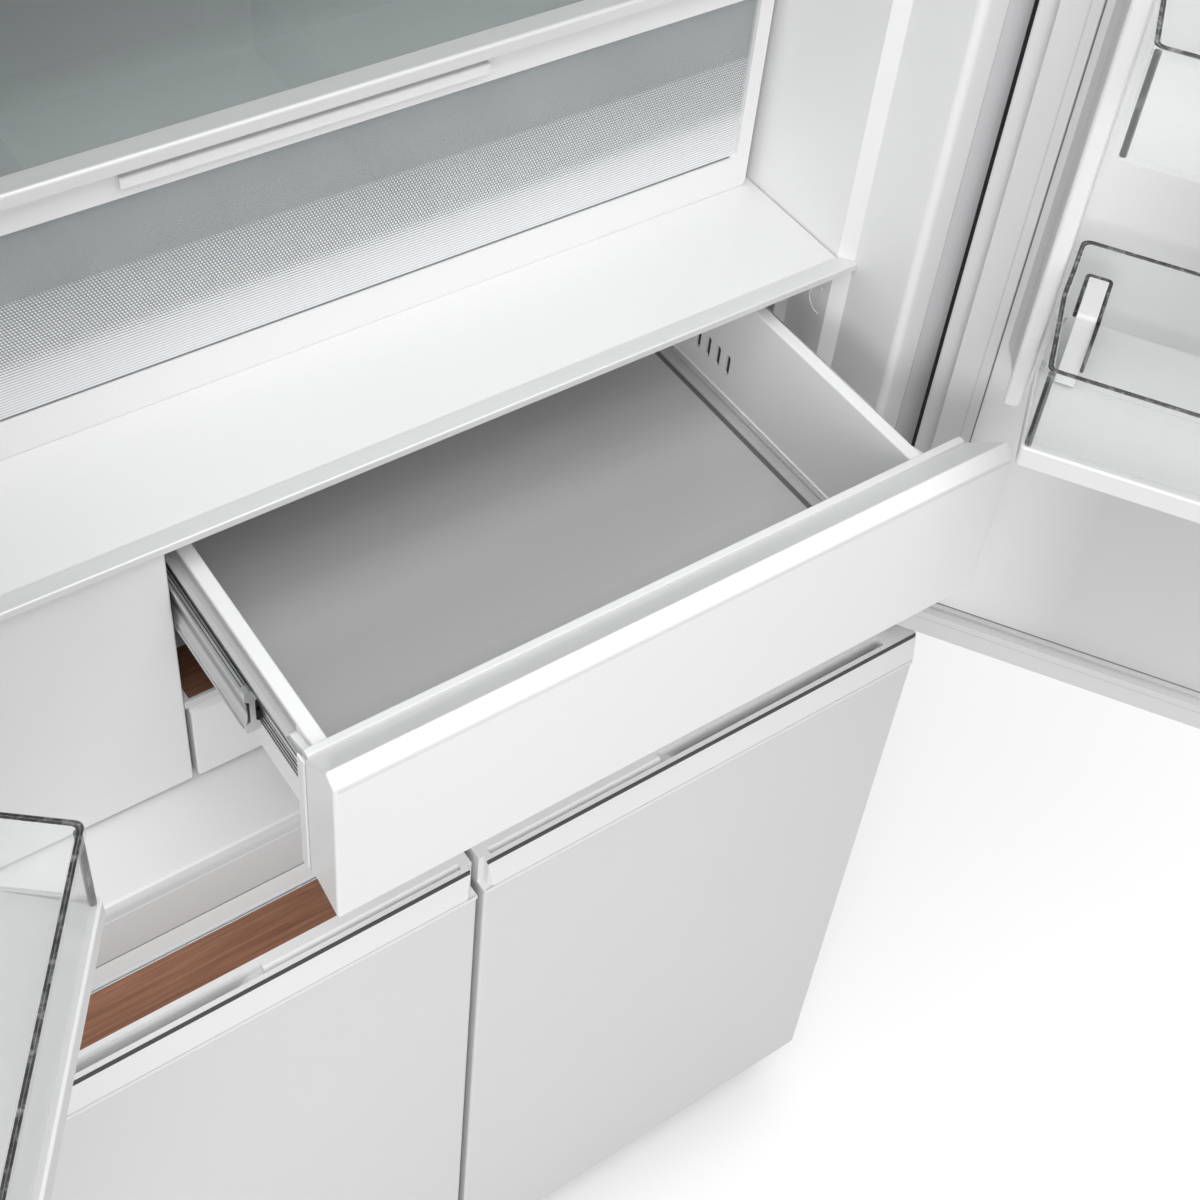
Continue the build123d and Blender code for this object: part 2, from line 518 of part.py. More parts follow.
def make_upper_doors():
    base = bin_base(BIN_Z, BIN_Z + BASE_H)
    bins = [bin_body(BIN_Z + BASE_H, RIM_Z), bin_body(BIN_2, BIN_2 + BIN_H, 182),
            bin_body(BIN_3, BIN_3 + BIN_H, 150)]
    seal = gasket(UPPER_BOTTOM + 15, UPPER_TOP - 23)
    liner = upper_liner()
    panel = upper_panel()
    holder, clip = bottle_holder()
    right = {"door_r_panel": [panel], "door_r_liner": [liner], "door_r_gasket": [seal], "bin_r_base": [base],
             "bins_r": bins, "snugger": [holder], "snugger_clip": [clip]}
    for name, shapes in right.items():
        keep(name, swing(shapes, 1, OPEN_DEG))

    # two arms with pins carry the centre flap
    left_liner = mirrored(liner)
    for z0, z1, p0, p1 in ((FLAP_Z0 - 6, FLAP_Z0 - FIT, FLAP_Z0 - 1, FLAP_Z0 + 12),
                           (FLAP_Z1 + FIT, FLAP_Z1 + 6, FLAP_Z1 - 12, FLAP_Z1 + 1)):
        arm = along_z(outline((-44, 43), (-31, 43), (-31, 58.2), (FLAP_X + 3.4, 58.2, 2),
                              (FLAP_X + 3.4, 65, 3), (-44, 65, 3)), z0, z1)
        left_liner += arm + rod(FLAP_X, FLAP_Y, FLAP_PIN, p0, p1)
    left = {"door_l_panel": [mirrored(panel)], "door_l_liner": [left_liner], "door_l_gasket": [mirrored(seal)],
            "bin_l_base": [mirrored(base)], "bins_l": [mirrored(s) for s in bins]}
    for name, shapes in left.items():
        keep(name, swing(shapes, -1, OPEN_DEG))

    # centre flap, folded against the left door; the corner at its hinge is round to clear the seal
    flap = outline((-24, FLANGE_Y, 3), (24, FLANGE_Y, 1.5), (24, 78, 4), (-24, 78, 4))
    flap = along_z(flap, FLAP_Z0, FLAP_Z1)
    flap -= rod(FLAP_X, FLAP_Y, FLAP_PIN + RUN, FLAP_Z0 - 1, FLAP_Z0 + 13)
    flap -= rod(FLAP_X, FLAP_Y, FLAP_PIN + RUN, FLAP_Z1 - 13, FLAP_Z1 + 1)
    fold = Pos(FLAP_X, FLAP_Y, 0) * Rot(0, 0, 90) * Pos(-FLAP_X, -FLAP_Y, 0)
    keep("mullion_flap", swing([fold * flap], -1, OPEN_DEG))


# Lower doors

def make_lower_doors():
    x0, x1 = GAP_HALF, DOOR_HALF
    panel = along_z(door_plan(), LOWER_BOTTOM, SEAM_Z)
    panel -= block(22, x1 - 31, 38, DOOR_BACK + 1, 95, SEAM_Z - 18)
    panel -= rod(PIN_X, PIN_Y, PIN_R + RUN, LOWER_BOTTOM - 1, LOWER_BOTTOM + 18)

    under = LOWER_TOP - 3.4
    section = outline((0, SEAM_Z + 0.3), (0, SEAM_Z + 4, 2), (5, LOWER_TOP, 1.2), (56.5, LOWER_TOP, 0.8),
                      (56.5, under), (DOOR_BACK, under), (DOOR_BACK, SEAM_Z + 0.3))
    cap = along_x(section, x0, x1)
    # the shelf at the back stops short of the hinge, and the lip short of the free end
    cap -= block(x1 - 36, x1 + 6, DOOR_BACK, 60, SEAM_Z + 20, SEAM_Z + 40)
    cap -= block(0, 12, DOOR_BACK, 60, SEAM_Z + 20, SEAM_Z + 40)
    cap -= along_z(outline((0, -1), (12.5, -1), (7.5, 4, 3), (7.5, 10), (0, 10)), SEAM_Z + 4, SEAM_Z + 40)
    # groove behind the lip: shallow at the free end, a ramp, then the deep grip
    shallow = along_x(outline((9.3, LOWER_TOP + 1), (9.3, LOWER_TOP - 7), (15.2, LOWER_TOP + 1)), 12, 200)
    deep = outline((9.3, LOWER_TOP + 1), (9.3, SEAM_Z + 10, 3), (15, SEAM_Z + 10, 3), (18.5, LOWER_TOP + 1))
    slope = along_y(outline((160, SEAM_Z - 10), (165, LOWER_TOP - 6), (176, LOWER_TOP - 8, 6),
                            (190, SEAM_Z + 14, 8), (202, SEAM_Z + 9), (202, SEAM_Z - 10)), 5, 25)
    cap -= shallow
    cap -= along_x(deep, 200, x1 - 31)
    cap -= along_x(deep, 165, 201) - slope
    cap -= rod(PIN_X, PIN_Y, PIN_R + RUN, SEAM_Z + 19, SEAM_Z + 40)
    # the dark strip lies flush in a bed at the upper front corner
    bed = along_x(outline((0, LOWER_TOP - 4.1), (0, LOWER_TOP - 0.7), (6.3, LOWER_TOP - 0.7),
                          (6.3, LOWER_TOP - 4.1)), 7.5, x1 - 1)
    strip = cap & bed
    cap -= bed
    wood = block(14, x1 - 38, 22.5, 55.5, LOWER_TOP - 1.9, LOWER_TOP)
    cap -= block(14, x1 - 38, 22.5, 55.5, LOWER_TOP - 1.9, LOWER_TOP + 1)

    plate = block(22.3, x1 - 31.3, 38.3, DOOR_BACK, 95.3, SEAM_Z - 18.3)
    frame = front_ring(42, x1 - 70, 128, SEAM_Z - 30, 16, DOOR_BACK - 1, 66, 14)
    frame = fillet(frame.faces().sort_by(Axis.Y)[-1].edges(), 3)
    plate += frame
    for z in (250, 380, 510):
        plate += along_x(outline((43, z - 5), (52, z - 3, 2), (52, z + 3, 2), (43, z + 5)), 62, x1 - 90)
    pieces = {"panel": panel, "cap": cap, "strip": strip, "wood": wood, "liner": plate,
              "gasket": gasket(LOWER_BOTTOM + 16, SEAM_Z + 18)}
    for name, shape in pieces.items():
        keep("lower_r_" + name, shape)
        keep("lower_l_" + name, mirrored(shape))


# Drawers

def open_box(x0, x1, y0, y1, z0, z1, t, r=8.0):
    """Drawer box with rounded upright corners."""
    outer = along_z(rect(x0, x1, y0, y1, r), z0, z1)
    return outer - along_z(rect(x0 + t, x1 - t, y0 + t, y1 - t, max(r - t, 1)), z0 + t, z1 + 1)


def drawer_front(x0, x1, z0, z1, bevel):
    """Moulded front with a chamfered top and soft vertical edges."""
    section = outline((DRAWER_Y, z0, 1), (DRAWER_Y, z1 - bevel, 1), (DRAWER_Y + bevel, z1, 1.5),
                      (DRAWER_Y + 14, z1), (DRAWER_Y + 14, z0))
    front = along_x(section, x0, x1)
    return fillet(edges_near(front, Axis.Z, (x0, DRAWER_Y, (z0 + z1) / 2), (x1, DRAWER_Y, (z0 + z1) / 2)), 2)


def make_small_drawers():
    z0, y0 = FLOOR_Z + FIT, DRAWER_Y + 13
    front = drawer_front(-WALL_REAR + 6, DIVIDER_X1 + 0.5, FLOOR_Z + 3.5, COVER_BOTTOM - 3, 3)
    box = open_box(-WALL_REAR + 12, DIVIDER_X0 - 9, y0, LINER_BACK - 135, z0, COVER_BOTTOM - 19, 3)
    keep("small_drawer", front + box)

    front = drawer_front(DIVIDER_X1 + 4, WALL_REAR - 8, FLOOR_Z + 3, DELI_TOP - 7, 8)
    box = open_box(DIVIDER_X1 + 10, WALL_REAR - 14, y0, LINER_BACK - 125, z0, DELI_TOP - 15, 3)
    keep("flex_drawer", front + box)


def make_chilled_drawer():
    y = DRAWER_Y
    x0, x1 = DIVIDER_X1 + 4.4, WALL_REAR - 7.5
    base, lip = SEAM_Z + 227, SEAM_Z + 328
    section = outline((y, SEAM_Z + 212), (y, SEAM_Z + 340, 0.8), (y + 8.8, SEAM_Z + 346.5, 1.2),
                      (y + 35.3, lip - 2.5), (y + 35.3, lip, 1), (BOX_FRONT, lip, 1.5),
                      (BOX_FRONT, base, 2), (y + 33.3, base), (y + 31.8, base - 5.3, 2),
                      (y + 23.7, base - 6.8))
    # the right end is cut back at a slant behind the front face
    ends = along_z(outline((x0, y - 1), (x1, y - 1), (x1, y + 3), (x1 - 6.5, y + 22), (x1 - 6.5, BOX_FRONT + 1),
                           (x0, BOX_FRONT + 1)), SEAM_Z + 200, SEAM_Z + 360)
    front = along_x(section, x0, x1) & ends
    front = fillet(edges_near(front, Axis.Z, (x0, y, SEAM_Z + 276), (x1, y, SEAM_Z + 276)), 2)
    # thin lip is shorter than the front
    for u0, u1 in ((x0 - 1, x0 + 3), (x1 - 9, x1 + 1)):
        front -= block(u0, u1, y + 35.3, BOX_FRONT + 1, lip - 6, lip + 2)

    x0, x1, t = BOX_X0, BOX_X1, 10.0
    z0, z1 = SEAM_Z + 219, lip - 3
    box = along_z(outline((x0, BOX_FRONT), (x1, BOX_FRONT), (x1, BOX_BACK, 6), (x0, BOX_BACK, 6)), z0, z1)
    box -= along_z(outline((x0 + t, BOX_FRONT - 1), (x1 - t, BOX_FRONT - 1), (x1 - t, BOX_BACK - t, 10),
                           (x0 + t, BOX_BACK - t, 10)), base - 1, z1 + 1)
    rims = [e for e in box.edges() if abs(e.center().Z - z1) < 0.01 and e.center().Y > BOX_FRONT + 1]
    box = fillet(rims, 1.5)
    for i in range(5):
        yc = 349.3 + 11.8 * i
        box -= along_x(rect(yc - 2.5, yc + 2.5, SEAM_Z + 249, SEAM_Z + 268, 2.45), x1 - t - 2, x1 + 2)

    x0, x1, y0, y1 = x0 + t + 0.4, x1 - t - 0.4, BOX_FRONT + 0.3, BOX_BACK - t - 0.4
    top = base + 3
    tray = along_z(rect(x0, x1, y0, y1, 9), base - 1, top)
    for inset, width, depth in ((4, 5, 1.6), (13.5, 4.5, 1.2)):
        end = inset + width
        tray -= along_z(rect(x0 + inset, x1 - inset, y0 + inset, y1 - inset, 8)
                        - rect(x0 + end, x1 - end, y0 + end, y1 - end, 6), top - depth, top + 1)

    # slides: fixed channel, middle member and inner member, left ones mirrored to the right
    centre = (BOX_X0 + BOX_X1) / 2
    wall, z = DIVIDER_X1, SEAM_Z + 292.5
    fixed = along_y(outline((wall, z - 21.5), (wall, z + 21.5), (wall + 5.2, z + 21.5), (wall + 5.2, z + 19.1),
                            (wall + 1.6, z + 19.1), (wall + 1.6, z - 19.1), (wall + 5.2, z - 19.1),
                            (wall + 5.2, z - 21.5)), 168, SHELF_BACK - 5)
    middle = along_y(outline((wall + 2.2, z - 18.7), (wall + 11.4, z - 18.7), (wall + 11.4, z - 11.5, 1),
                             (wall + 8.6, z - 9), (wall + 8.6, z + 9), (wall + 11.4, z + 11.5, 1),
                             (wall + 11.4, z + 18.7), (wall + 2.2, z + 18.7), (wall + 2.2, z + 11.5, 1),
                             (wall + 5, z + 9), (wall + 5, z - 9), (wall + 2.2, z - 11.5, 1)),
                     162, SHELF_BACK - 15)
    side = BOX_X0
    inner = along_y(outline((side, z - 3.5), (side, z + 23.5), (side - 6.8, z + 23.5), (side - 6.8, z + 19.3),
                            (side - 5.2, z + 19.3), (side - 5.2, z + 21.3), (side - 2, z + 21.3),
                            (side - 2, z - 3.5)), BOX_FRONT + 0.5, BOX_BACK - 8)
    keep("slide_fixed", both(fixed, centre))
    keep("slide_middle", [Pos(0, -MID_TRAVEL, 0) * s for s in both(middle, centre)])
    pieces = {"chilled_front": [front], "chilled_box": [box], "chilled_tray": [tray],
              "slide_inner": both(inner, centre)}
    for name, shapes in pieces.items():
        keep(name, [Pos(0, -TRAVEL, 0) * s for s in shapes])


def make_crisper():
    z0 = COVER_TOP + FIT
    y0, y1 = CRISPER_Y, SHELF_BACK - 10
    half = WALL_REAR - 7.5
    box = open_box(-half + 3.5, half - 3.5, y0 + 5, y1, z0, CRISPER_TOP - 2, 2.5)
    for x in (-115, 115):
        box += block(x - 1.2, x + 1.2, y0 + 7, y1 - 2, z0 + 2, z0 + 60)
    keep("crisper_box", box)
    frame = along_y(rect(-half, half, z0, CRISPER_TOP, 4), y0, y0 + 5)
    frame -= along_y(rect(-half + 11.5, half - 11.5, COVER_TOP + 28, CRISPER_TOP - 18, 5), y0 - 1, y0 + 6)
    frame += along_x(outline((y0 - 7, CRISPER_TOP - 7, 1), (y0 - 7, CRISPER_TOP, 2), (y0 + 1, CRISPER_TOP),
                             (y0 + 1, CRISPER_TOP - 12)), -120, 120)
    keep("crisper_front", frame)


def make_freezer_drawers():
    x0, x1, y0 = FREEZER_X0 + 7, FREEZER_X1 - 10.5, DRAWER_Y
    middle = (x0 + x1) / 2
    levels = ((FREEZER_Z0, RUNNERS[0] - 12, BACK_Y - 245), (RUNNERS[0], RUNNERS[1] - 12, FREEZER_BACK - 20),
              (RUNNERS[1], FREEZER_Z1 - 18, FREEZER_BACK - 20))
    drawers = []
    for seat, z1, y1 in levels:
        z0 = seat + FIT
        box = open_box(x0, x1, y0 + 4, y1, z0, z1 - 14, 3, 7)
        face = along_x(outline((y0, z0 + 1, 2), (y0, z1, 3), (y0 + 7, z1, 1.5), (y0 + 7, z0 + 1)), x0, x1)
        slot = along_y(rect(middle - 70, middle + 70, z1 - 34, z1 - 16, 8), y0 - 1, y0 + 3)
        drawers.append(box + face - slot)
    keep("freezer_drawers_r", drawers)
    keep("freezer_drawers_l", [mirrored(d) for d in drawers])


make_cabinet()
make_fridge_liner()
make_freezer_liner()
make_interior()
make_base()
make_hinges()
make_upper_doors()
make_lower_doors()
make_small_drawers()
make_chilled_drawer()
make_crisper()
make_freezer_drawers()

for name, solids in parts.items():
    flat = [solid for shape in solids for solid in shape.solids()]
    shape = flat[0] if len(flat) == 1 else Compound(children=flat)
    export_step(shape, f"parts/{name}.step")
print(len(parts), "parts")
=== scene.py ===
import math

import bmesh
import bpy
from mathutils import Euler, Matrix, Vector


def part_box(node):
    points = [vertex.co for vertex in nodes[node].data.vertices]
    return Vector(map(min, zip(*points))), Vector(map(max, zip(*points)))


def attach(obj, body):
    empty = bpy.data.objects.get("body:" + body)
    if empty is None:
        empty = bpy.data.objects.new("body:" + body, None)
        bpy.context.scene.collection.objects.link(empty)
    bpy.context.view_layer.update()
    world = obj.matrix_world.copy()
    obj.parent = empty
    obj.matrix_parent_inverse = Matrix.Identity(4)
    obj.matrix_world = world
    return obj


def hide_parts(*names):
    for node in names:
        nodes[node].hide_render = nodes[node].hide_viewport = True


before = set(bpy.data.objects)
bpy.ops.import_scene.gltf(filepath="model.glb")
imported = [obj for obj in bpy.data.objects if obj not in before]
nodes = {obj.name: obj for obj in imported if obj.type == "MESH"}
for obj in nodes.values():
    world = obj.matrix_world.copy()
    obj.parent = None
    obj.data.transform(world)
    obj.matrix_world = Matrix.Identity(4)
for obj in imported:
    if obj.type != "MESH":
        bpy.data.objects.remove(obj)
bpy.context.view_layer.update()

# Places taken from the frame, in metres

HALF_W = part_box("cabinet_shell")[1][0]
FLANGE_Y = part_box("cabinet_shell")[0][1]    # front plane of the cabinet, which the gaskets meet
LINER_EDGE = HALF_W - 0.0286                # where the long pieces in that plane end
PANEL_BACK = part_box("back_panel")[1][1] - 0.0081    # face that the back panel's screws sit on
DRAWER_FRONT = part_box("chilled_front")
DRAWER_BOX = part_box("chilled_box")
DRAWER_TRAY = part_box("chilled_tray")
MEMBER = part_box("slide_middle")
MEMBER_Z = (MEMBER[0][2] + MEMBER[1][2]) / 2
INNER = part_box("slide_inner")
PIN_X, PIN_Y = HALF_W - 0.0133, 0.0317      # hinge pin of the right door
OPEN = math.radians(124.0)                  # how far both upper doors stand open at rest
SILL_SHADE_TOP = 0.8155                           # the liner's front face is painted greyer below this height, as painted shade
WINDOW = (1.089, 1.222)                     # foot and head of the crisper's window
SCREEN_H = 0.082                            # printed part of the pane behind it


# Materials

def new_material(name):
    mat = bpy.data.materials.new(name)
    mat.use_nodes = True
    nt = mat.node_tree
    for n in list(nt.nodes):
        nt.nodes.remove(n)
    out = nt.nodes.new("ShaderNodeOutputMaterial")
    bsdf = nt.nodes.new("ShaderNodeBsdfPrincipled")
    nt.links.new(bsdf.outputs[0], out.inputs[0])
    return mat, nt, bsdf


def coords(nt, scale=(1, 1, 1)):
    tc = nt.nodes.new("ShaderNodeTexCoord")
    mp = nt.nodes.new("ShaderNodeMapping")
    mp.inputs["Scale"].default_value = scale
    nt.links.new(tc.outputs["Object"], mp.inputs["Vector"])
    return mp.outputs[0]


def noise(nt, vec, scale, detail=3.0, rough=0.5):
    n = nt.nodes.new("ShaderNodeTexNoise")
    n.inputs["Scale"].default_value = scale
    n.inputs["Detail"].default_value = detail
    n.inputs["Roughness"].default_value = rough
    nt.links.new(vec, n.inputs["Vector"])
    return n.outputs["Fac"]


def ramp(nt, fac, stops):
    r = nt.nodes.new("ShaderNodeValToRGB")
    el = r.color_ramp.elements
    while len(el) > len(stops):
        el.remove(el[-1])
    while len(el) < len(stops):
        el.new(0.5)
    for e, (pos, col) in zip(el, stops):
        e.position = pos
        e.color = tuple(col) + (1.0,) if len(col) == 3 else col
    nt.links.new(fac, r.inputs[0])
    return r.outputs[0]


def maths(nt, op, a, b=None, c=None):
    m = nt.nodes.new("ShaderNodeMath")
    m.operation = op
    for i, v in enumerate((a, b, c)):
        if v is None:
            continue
        if isinstance(v, (int, float)):
            m.inputs[i].default_value = v
        else:
            nt.links.new(v, m.inputs[i])
    return m.outputs[0]


def mixed(nt, fac, a, b):
    mix = nt.nodes.new("ShaderNodeMix")
    mix.data_type = "RGBA"
    nt.links.new(fac, mix.inputs["Factor"])
    for key, value in (("A", a), ("B", b)):
        if isinstance(value, tuple):
            mix.inputs[key].default_value = value + (1.0,)
        else:
            nt.links.new(value, mix.inputs[key])
    return mix.outputs["Result"]


def span(nt, value, low, high, to_low=0.0, to_high=1.0):
    r = nt.nodes.new("ShaderNodeMapRange")
    r.inputs["From Min"].default_value = low
    r.inputs["From Max"].default_value = high
    r.inputs["To Min"].default_value = to_low
    r.inputs["To Max"].default_value = to_high
    nt.links.new(value, r.inputs["Value"])
    return r.outputs[0]


def bump(nt, bsdf, height, strength, distance):
    b = nt.nodes.new("ShaderNodeBump")
    b.inputs["Strength"].default_value = strength
    b.inputs["Distance"].default_value = distance
    nt.links.new(height, b.inputs["Height"])
    nt.links.new(b.outputs[0], bsdf.inputs["Normal"])


def shade(col, f):
    return tuple(min(1.0, c * f) for c in col)


def moulded(name, col, rough=0.35, spread=0.02, grain=900.0, grain_depth=0.00002, coat=0.0, spec=0.5):
    """Moulded plastic or paint: faint cloudy colour, fine skin texture, uneven gloss."""
    mat, nt, bsdf = new_material(name)
    vec = coords(nt)
    cloud = noise(nt, vec, 3.2, 4.0)
    base = ramp(nt, cloud, [(0.3, shade(col, 1 - spread)), (0.7, shade(col, 1 + spread * 0.5))])
    nt.links.new(base, bsdf.inputs["Base Color"])
    gloss = noise(nt, vec, 14.0, 3.0)
    nt.links.new(span(nt, gloss, 0.0, 1.0, rough * 0.9, rough * 1.12), bsdf.inputs["Roughness"])
    skin = noise(nt, vec, grain, 2.0)
    bump(nt, bsdf, skin, 0.1, grain_depth)
    bsdf.inputs["Specular IOR Level"].default_value = spec
    if coat:
        bsdf.inputs["Coat Weight"].default_value = coat
        bsdf.inputs["Coat Roughness"].default_value = 0.12
    return mat


def clear(name, col, alpha, rough=0.08):
    """Clear plastic or glass, less clear where it is seen edge on, as a painted reflection."""
    mat, nt, bsdf = new_material(name)
    vec = coords(nt)
    scuff = noise(nt, vec, 24.0, 4.0)
    base = ramp(nt, scuff, [(0.3, shade(col, 0.97)), (0.75, col)])
    bsdf.inputs["Roughness"].default_value = rough
    bsdf.inputs["IOR"].default_value = 1.49
    edge = nt.nodes.new("ShaderNodeLayerWeight")
    edge.inputs["Blend"].default_value = 0.3
    # painted reflection: more opaque where the surface is seen edge on
    edge_sheen_alpha = maths(nt, "MULTIPLY_ADD", edge.outputs["Facing"], 0.3, alpha)
    nt.links.new(base, bsdf.inputs["Base Color"])
    nt.links.new(edge_sheen_alpha, bsdf.inputs["Alpha"])
    return mat


def liner_painted_light(name, shaded_flat, lit_bars):
    """Door liner with painted light and shade: the flat plate is painted greyer as shade, and the bars
    that stand out of it and the plate near the hinge are painted lighter as lit.
    """
    mat, nt, bsdf = new_material(name)
    vec = coords(nt)
    sep = nt.nodes.new("ShaderNodeSeparateXYZ")
    nt.links.new(vec, sep.inputs[0])
    # how far a point lies through the open door's thickness, and how far out from its pin
    side_x = maths(nt, "SUBTRACT", maths(nt, "ABSOLUTE", sep.outputs["X"]), PIN_X)
    back_y = maths(nt, "SUBTRACT", sep.outputs["Y"], PIN_Y)
    out = maths(nt, "ADD", maths(nt, "MULTIPLY", side_x, -math.sin(OPEN)),
                maths(nt, "MULTIPLY", back_y, math.cos(OPEN)))
    # painted light: the farther a point stands out of the plate, the more it takes the lit bars' colour
    bar_light = span(nt, out, 0.016, 0.034)
    from_pin = maths(nt, "ADD", maths(nt, "MULTIPLY", side_x, -math.cos(OPEN)),
                     maths(nt, "MULTIPLY", back_y, -math.sin(OPEN)))
    cloud = noise(nt, vec, 3.2, 4.0)
    tint = ramp(nt, cloud, [(0.3, shade(shaded_flat, 0.985)), (0.7, shaded_flat)])
    # painted light near the hinge, painted shade on the plate farther out from it
    tint = mixed(nt, span(nt, from_pin, 0.05, 0.13), lit_bars, tint)
    nt.links.new(mixed(nt, bar_light, tint, lit_bars), bsdf.inputs["Base Color"])
    nt.links.new(span(nt, noise(nt, vec, 14.0), 0.0, 1.0, 0.36, 0.45), bsdf.inputs["Roughness"])
    bump(nt, bsdf, noise(nt, vec, 1200.0, 2.0), 0.1, 0.00003)
    return mat


def liner_with_painted_sill_shade(name, col, sill):
    """Fridge liner: its low front face is painted a little greyer than the rest, as painted shade."""
    mat, nt, bsdf = new_material(name)
    vec = coords(nt)
    tc = nt.nodes.new("ShaderNodeTexCoord")
    facing = nt.nodes.new("ShaderNodeSeparateXYZ")
    nt.links.new(tc.outputs["Normal"], facing.inputs[0])
    place = nt.nodes.new("ShaderNodeSeparateXYZ")
    nt.links.new(vec, place.inputs[0])
    # painted shade: faces that look to the front and lie below the sill height take the grey sill colour
    front = span(nt, facing.outputs["Y"], -0.45, -0.6)
    low = maths(nt, "LESS_THAN", place.outputs["Z"], SILL_SHADE_TOP)
    cloud = noise(nt, vec, 3.2, 4.0)
    tint = ramp(nt, cloud, [(0.3, shade(col, 0.988)), (0.7, col)])
    nt.links.new(mixed(nt, maths(nt, "MULTIPLY", front, low), tint, sill), bsdf.inputs["Base Color"])
    nt.links.new(span(nt, noise(nt, vec, 14.0), 0.0, 1.0, 0.38, 0.47), bsdf.inputs["Roughness"])
    bump(nt, bsdf, noise(nt, vec, 1200.0, 2.0), 0.1, 0.00003)
    return mat


def painted_clear_edge(name, painted_tones, alpha):
    """Painted look of thick clear plastic seen end on: dark as painted shade, with pale streaks of painted
    light where the light runs through it.
    """
    mat, nt, bsdf = new_material(name)
    streak = noise(nt, coords(nt, (1.0, 1.0, 0.35)), 160.0, 4.0, 0.6)
    base = ramp(nt, streak, [(pos, (tone, tone, tone)) for pos, tone in zip((0.35, 0.52, 0.68), painted_tones)])
    nt.links.new(base, bsdf.inputs["Base Color"])
    bsdf.inputs["Roughness"].default_value = 0.18
    bsdf.inputs["Alpha"].default_value = alpha
    return mat


def frit(name, z_low, z_high):
    """Clear pane with a printed screen of fine white dots that close up into lines at its foot."""
    pitch = 0.0021
    offset = 1000.0                 # keeps the column count positive left of the middle
    dot_white, glass_low, glass_high = (0.92, 0.93, 0.94), (0.60, 0.66, 0.66), (0.66, 0.71, 0.71)
    mat, nt, bsdf = new_material(name)
    sep = nt.nodes.new("ShaderNodeSeparateXYZ")
    nt.links.new(coords(nt), sep.inputs[0])
    x, z = sep.outputs["X"], sep.outputs["Z"]
    up = span(nt, z, z_low, z_high)
    row = maths(nt, "DIVIDE", z, pitch)
    odd = maths(nt, "MULTIPLY", maths(nt, "MODULO", maths(nt, "FLOOR", row), 2.0), 0.5)
    col = maths(nt, "ADD", maths(nt, "DIVIDE", x, pitch), odd)
    u = maths(nt, "SUBTRACT", maths(nt, "FRACT", maths(nt, "ADD", col, offset)), 0.5)
    v = maths(nt, "SUBTRACT", maths(nt, "FRACT", row), 0.5)
    stretch = span(nt, up, 0.25, 0.55)
    u = maths(nt, "MULTIPLY", u, stretch)
    far = maths(nt, "SQRT", maths(nt, "ADD", maths(nt, "MULTIPLY", u, u), maths(nt, "MULTIPLY", v, v)))
    size = span(nt, up, 0.0, 1.0, 0.42, 0.2)
    dot = span(nt, maths(nt, "SUBTRACT", size, far), -0.04, 0.04)
    dot = maths(nt, "MULTIPLY", dot, maths(nt, "LESS_THAN", up, 1.0))
    scuff = noise(nt, coords(nt), 30.0, 3.0)
    glass = ramp(nt, scuff, [(0.3, glass_low), (0.7, glass_high)])
    nt.links.new(mixed(nt, dot, glass, dot_white), bsdf.inputs["Base Color"])
    nt.links.new(maths(nt, "MULTIPLY_ADD", dot, 0.66, 0.2), bsdf.inputs["Alpha"])
    bsdf.inputs["Roughness"].default_value = 0.12
    return mat


def brushed(name, col, rough, along, metallic=1.0, depth=0.00003, fine=60.0):
    """Brushed or rolled metal with streaks along one axis of its own piece."""
    mat, nt, bsdf = new_material(name)
    vec = coords(nt, along)
    streak = noise(nt, vec, fine, 5.0, 0.65)
    base = ramp(nt, streak, [(0.25, shade(col, 0.95)), (0.75, shade(col, 1.04))])
    nt.links.new(base, bsdf.inputs["Base Color"])
    nt.links.new(span(nt, streak, 0.0, 1.0, rough * 0.85, rough * 1.2), bsdf.inputs["Roughness"])
    bump(nt, bsdf, streak, 0.2, depth)
    bsdf.inputs["Metallic"].default_value = metallic
    return mat


def painted_reflection_bands(name, z_low, z_high):
    """Rolled steel with the reflections of its curves painted on as dark and bright bands along it."""
    mat, nt, bsdf = new_material(name)
    vec = coords(nt)
    sep = nt.nodes.new("ShaderNodeSeparateXYZ")
    nt.links.new(vec, sep.inputs[0])
    streak = noise(nt, coords(nt, (1, 0.04, 1)), 60.0, 5.0, 0.65)
    up = maths(nt, "ADD", span(nt, sep.outputs["Z"], z_low, z_high), maths(nt, "MULTIPLY", streak, 0.05))
    # painted reflection: grey tones by height across the rolled face
    painted_tones = [(0.04, 0.34), (0.14, 0.62), (0.40, 0.66), (0.56, 0.30), (0.66, 0.16),
             (0.74, 0.52), (0.84, 0.20), (0.93, 0.48), (1.0, 0.10)]
    base = ramp(nt, up, [(pos, (tone, tone, tone)) for pos, tone in painted_tones])
    nt.links.new(base, bsdf.inputs["Base Color"])
    nt.links.new(span(nt, streak, 0.0, 1.0, 0.24, 0.34), bsdf.inputs["Roughness"])
    bump(nt, bsdf, streak, 0.2, 0.00003)
    bsdf.inputs["Metallic"].default_value = 0.8
    return mat


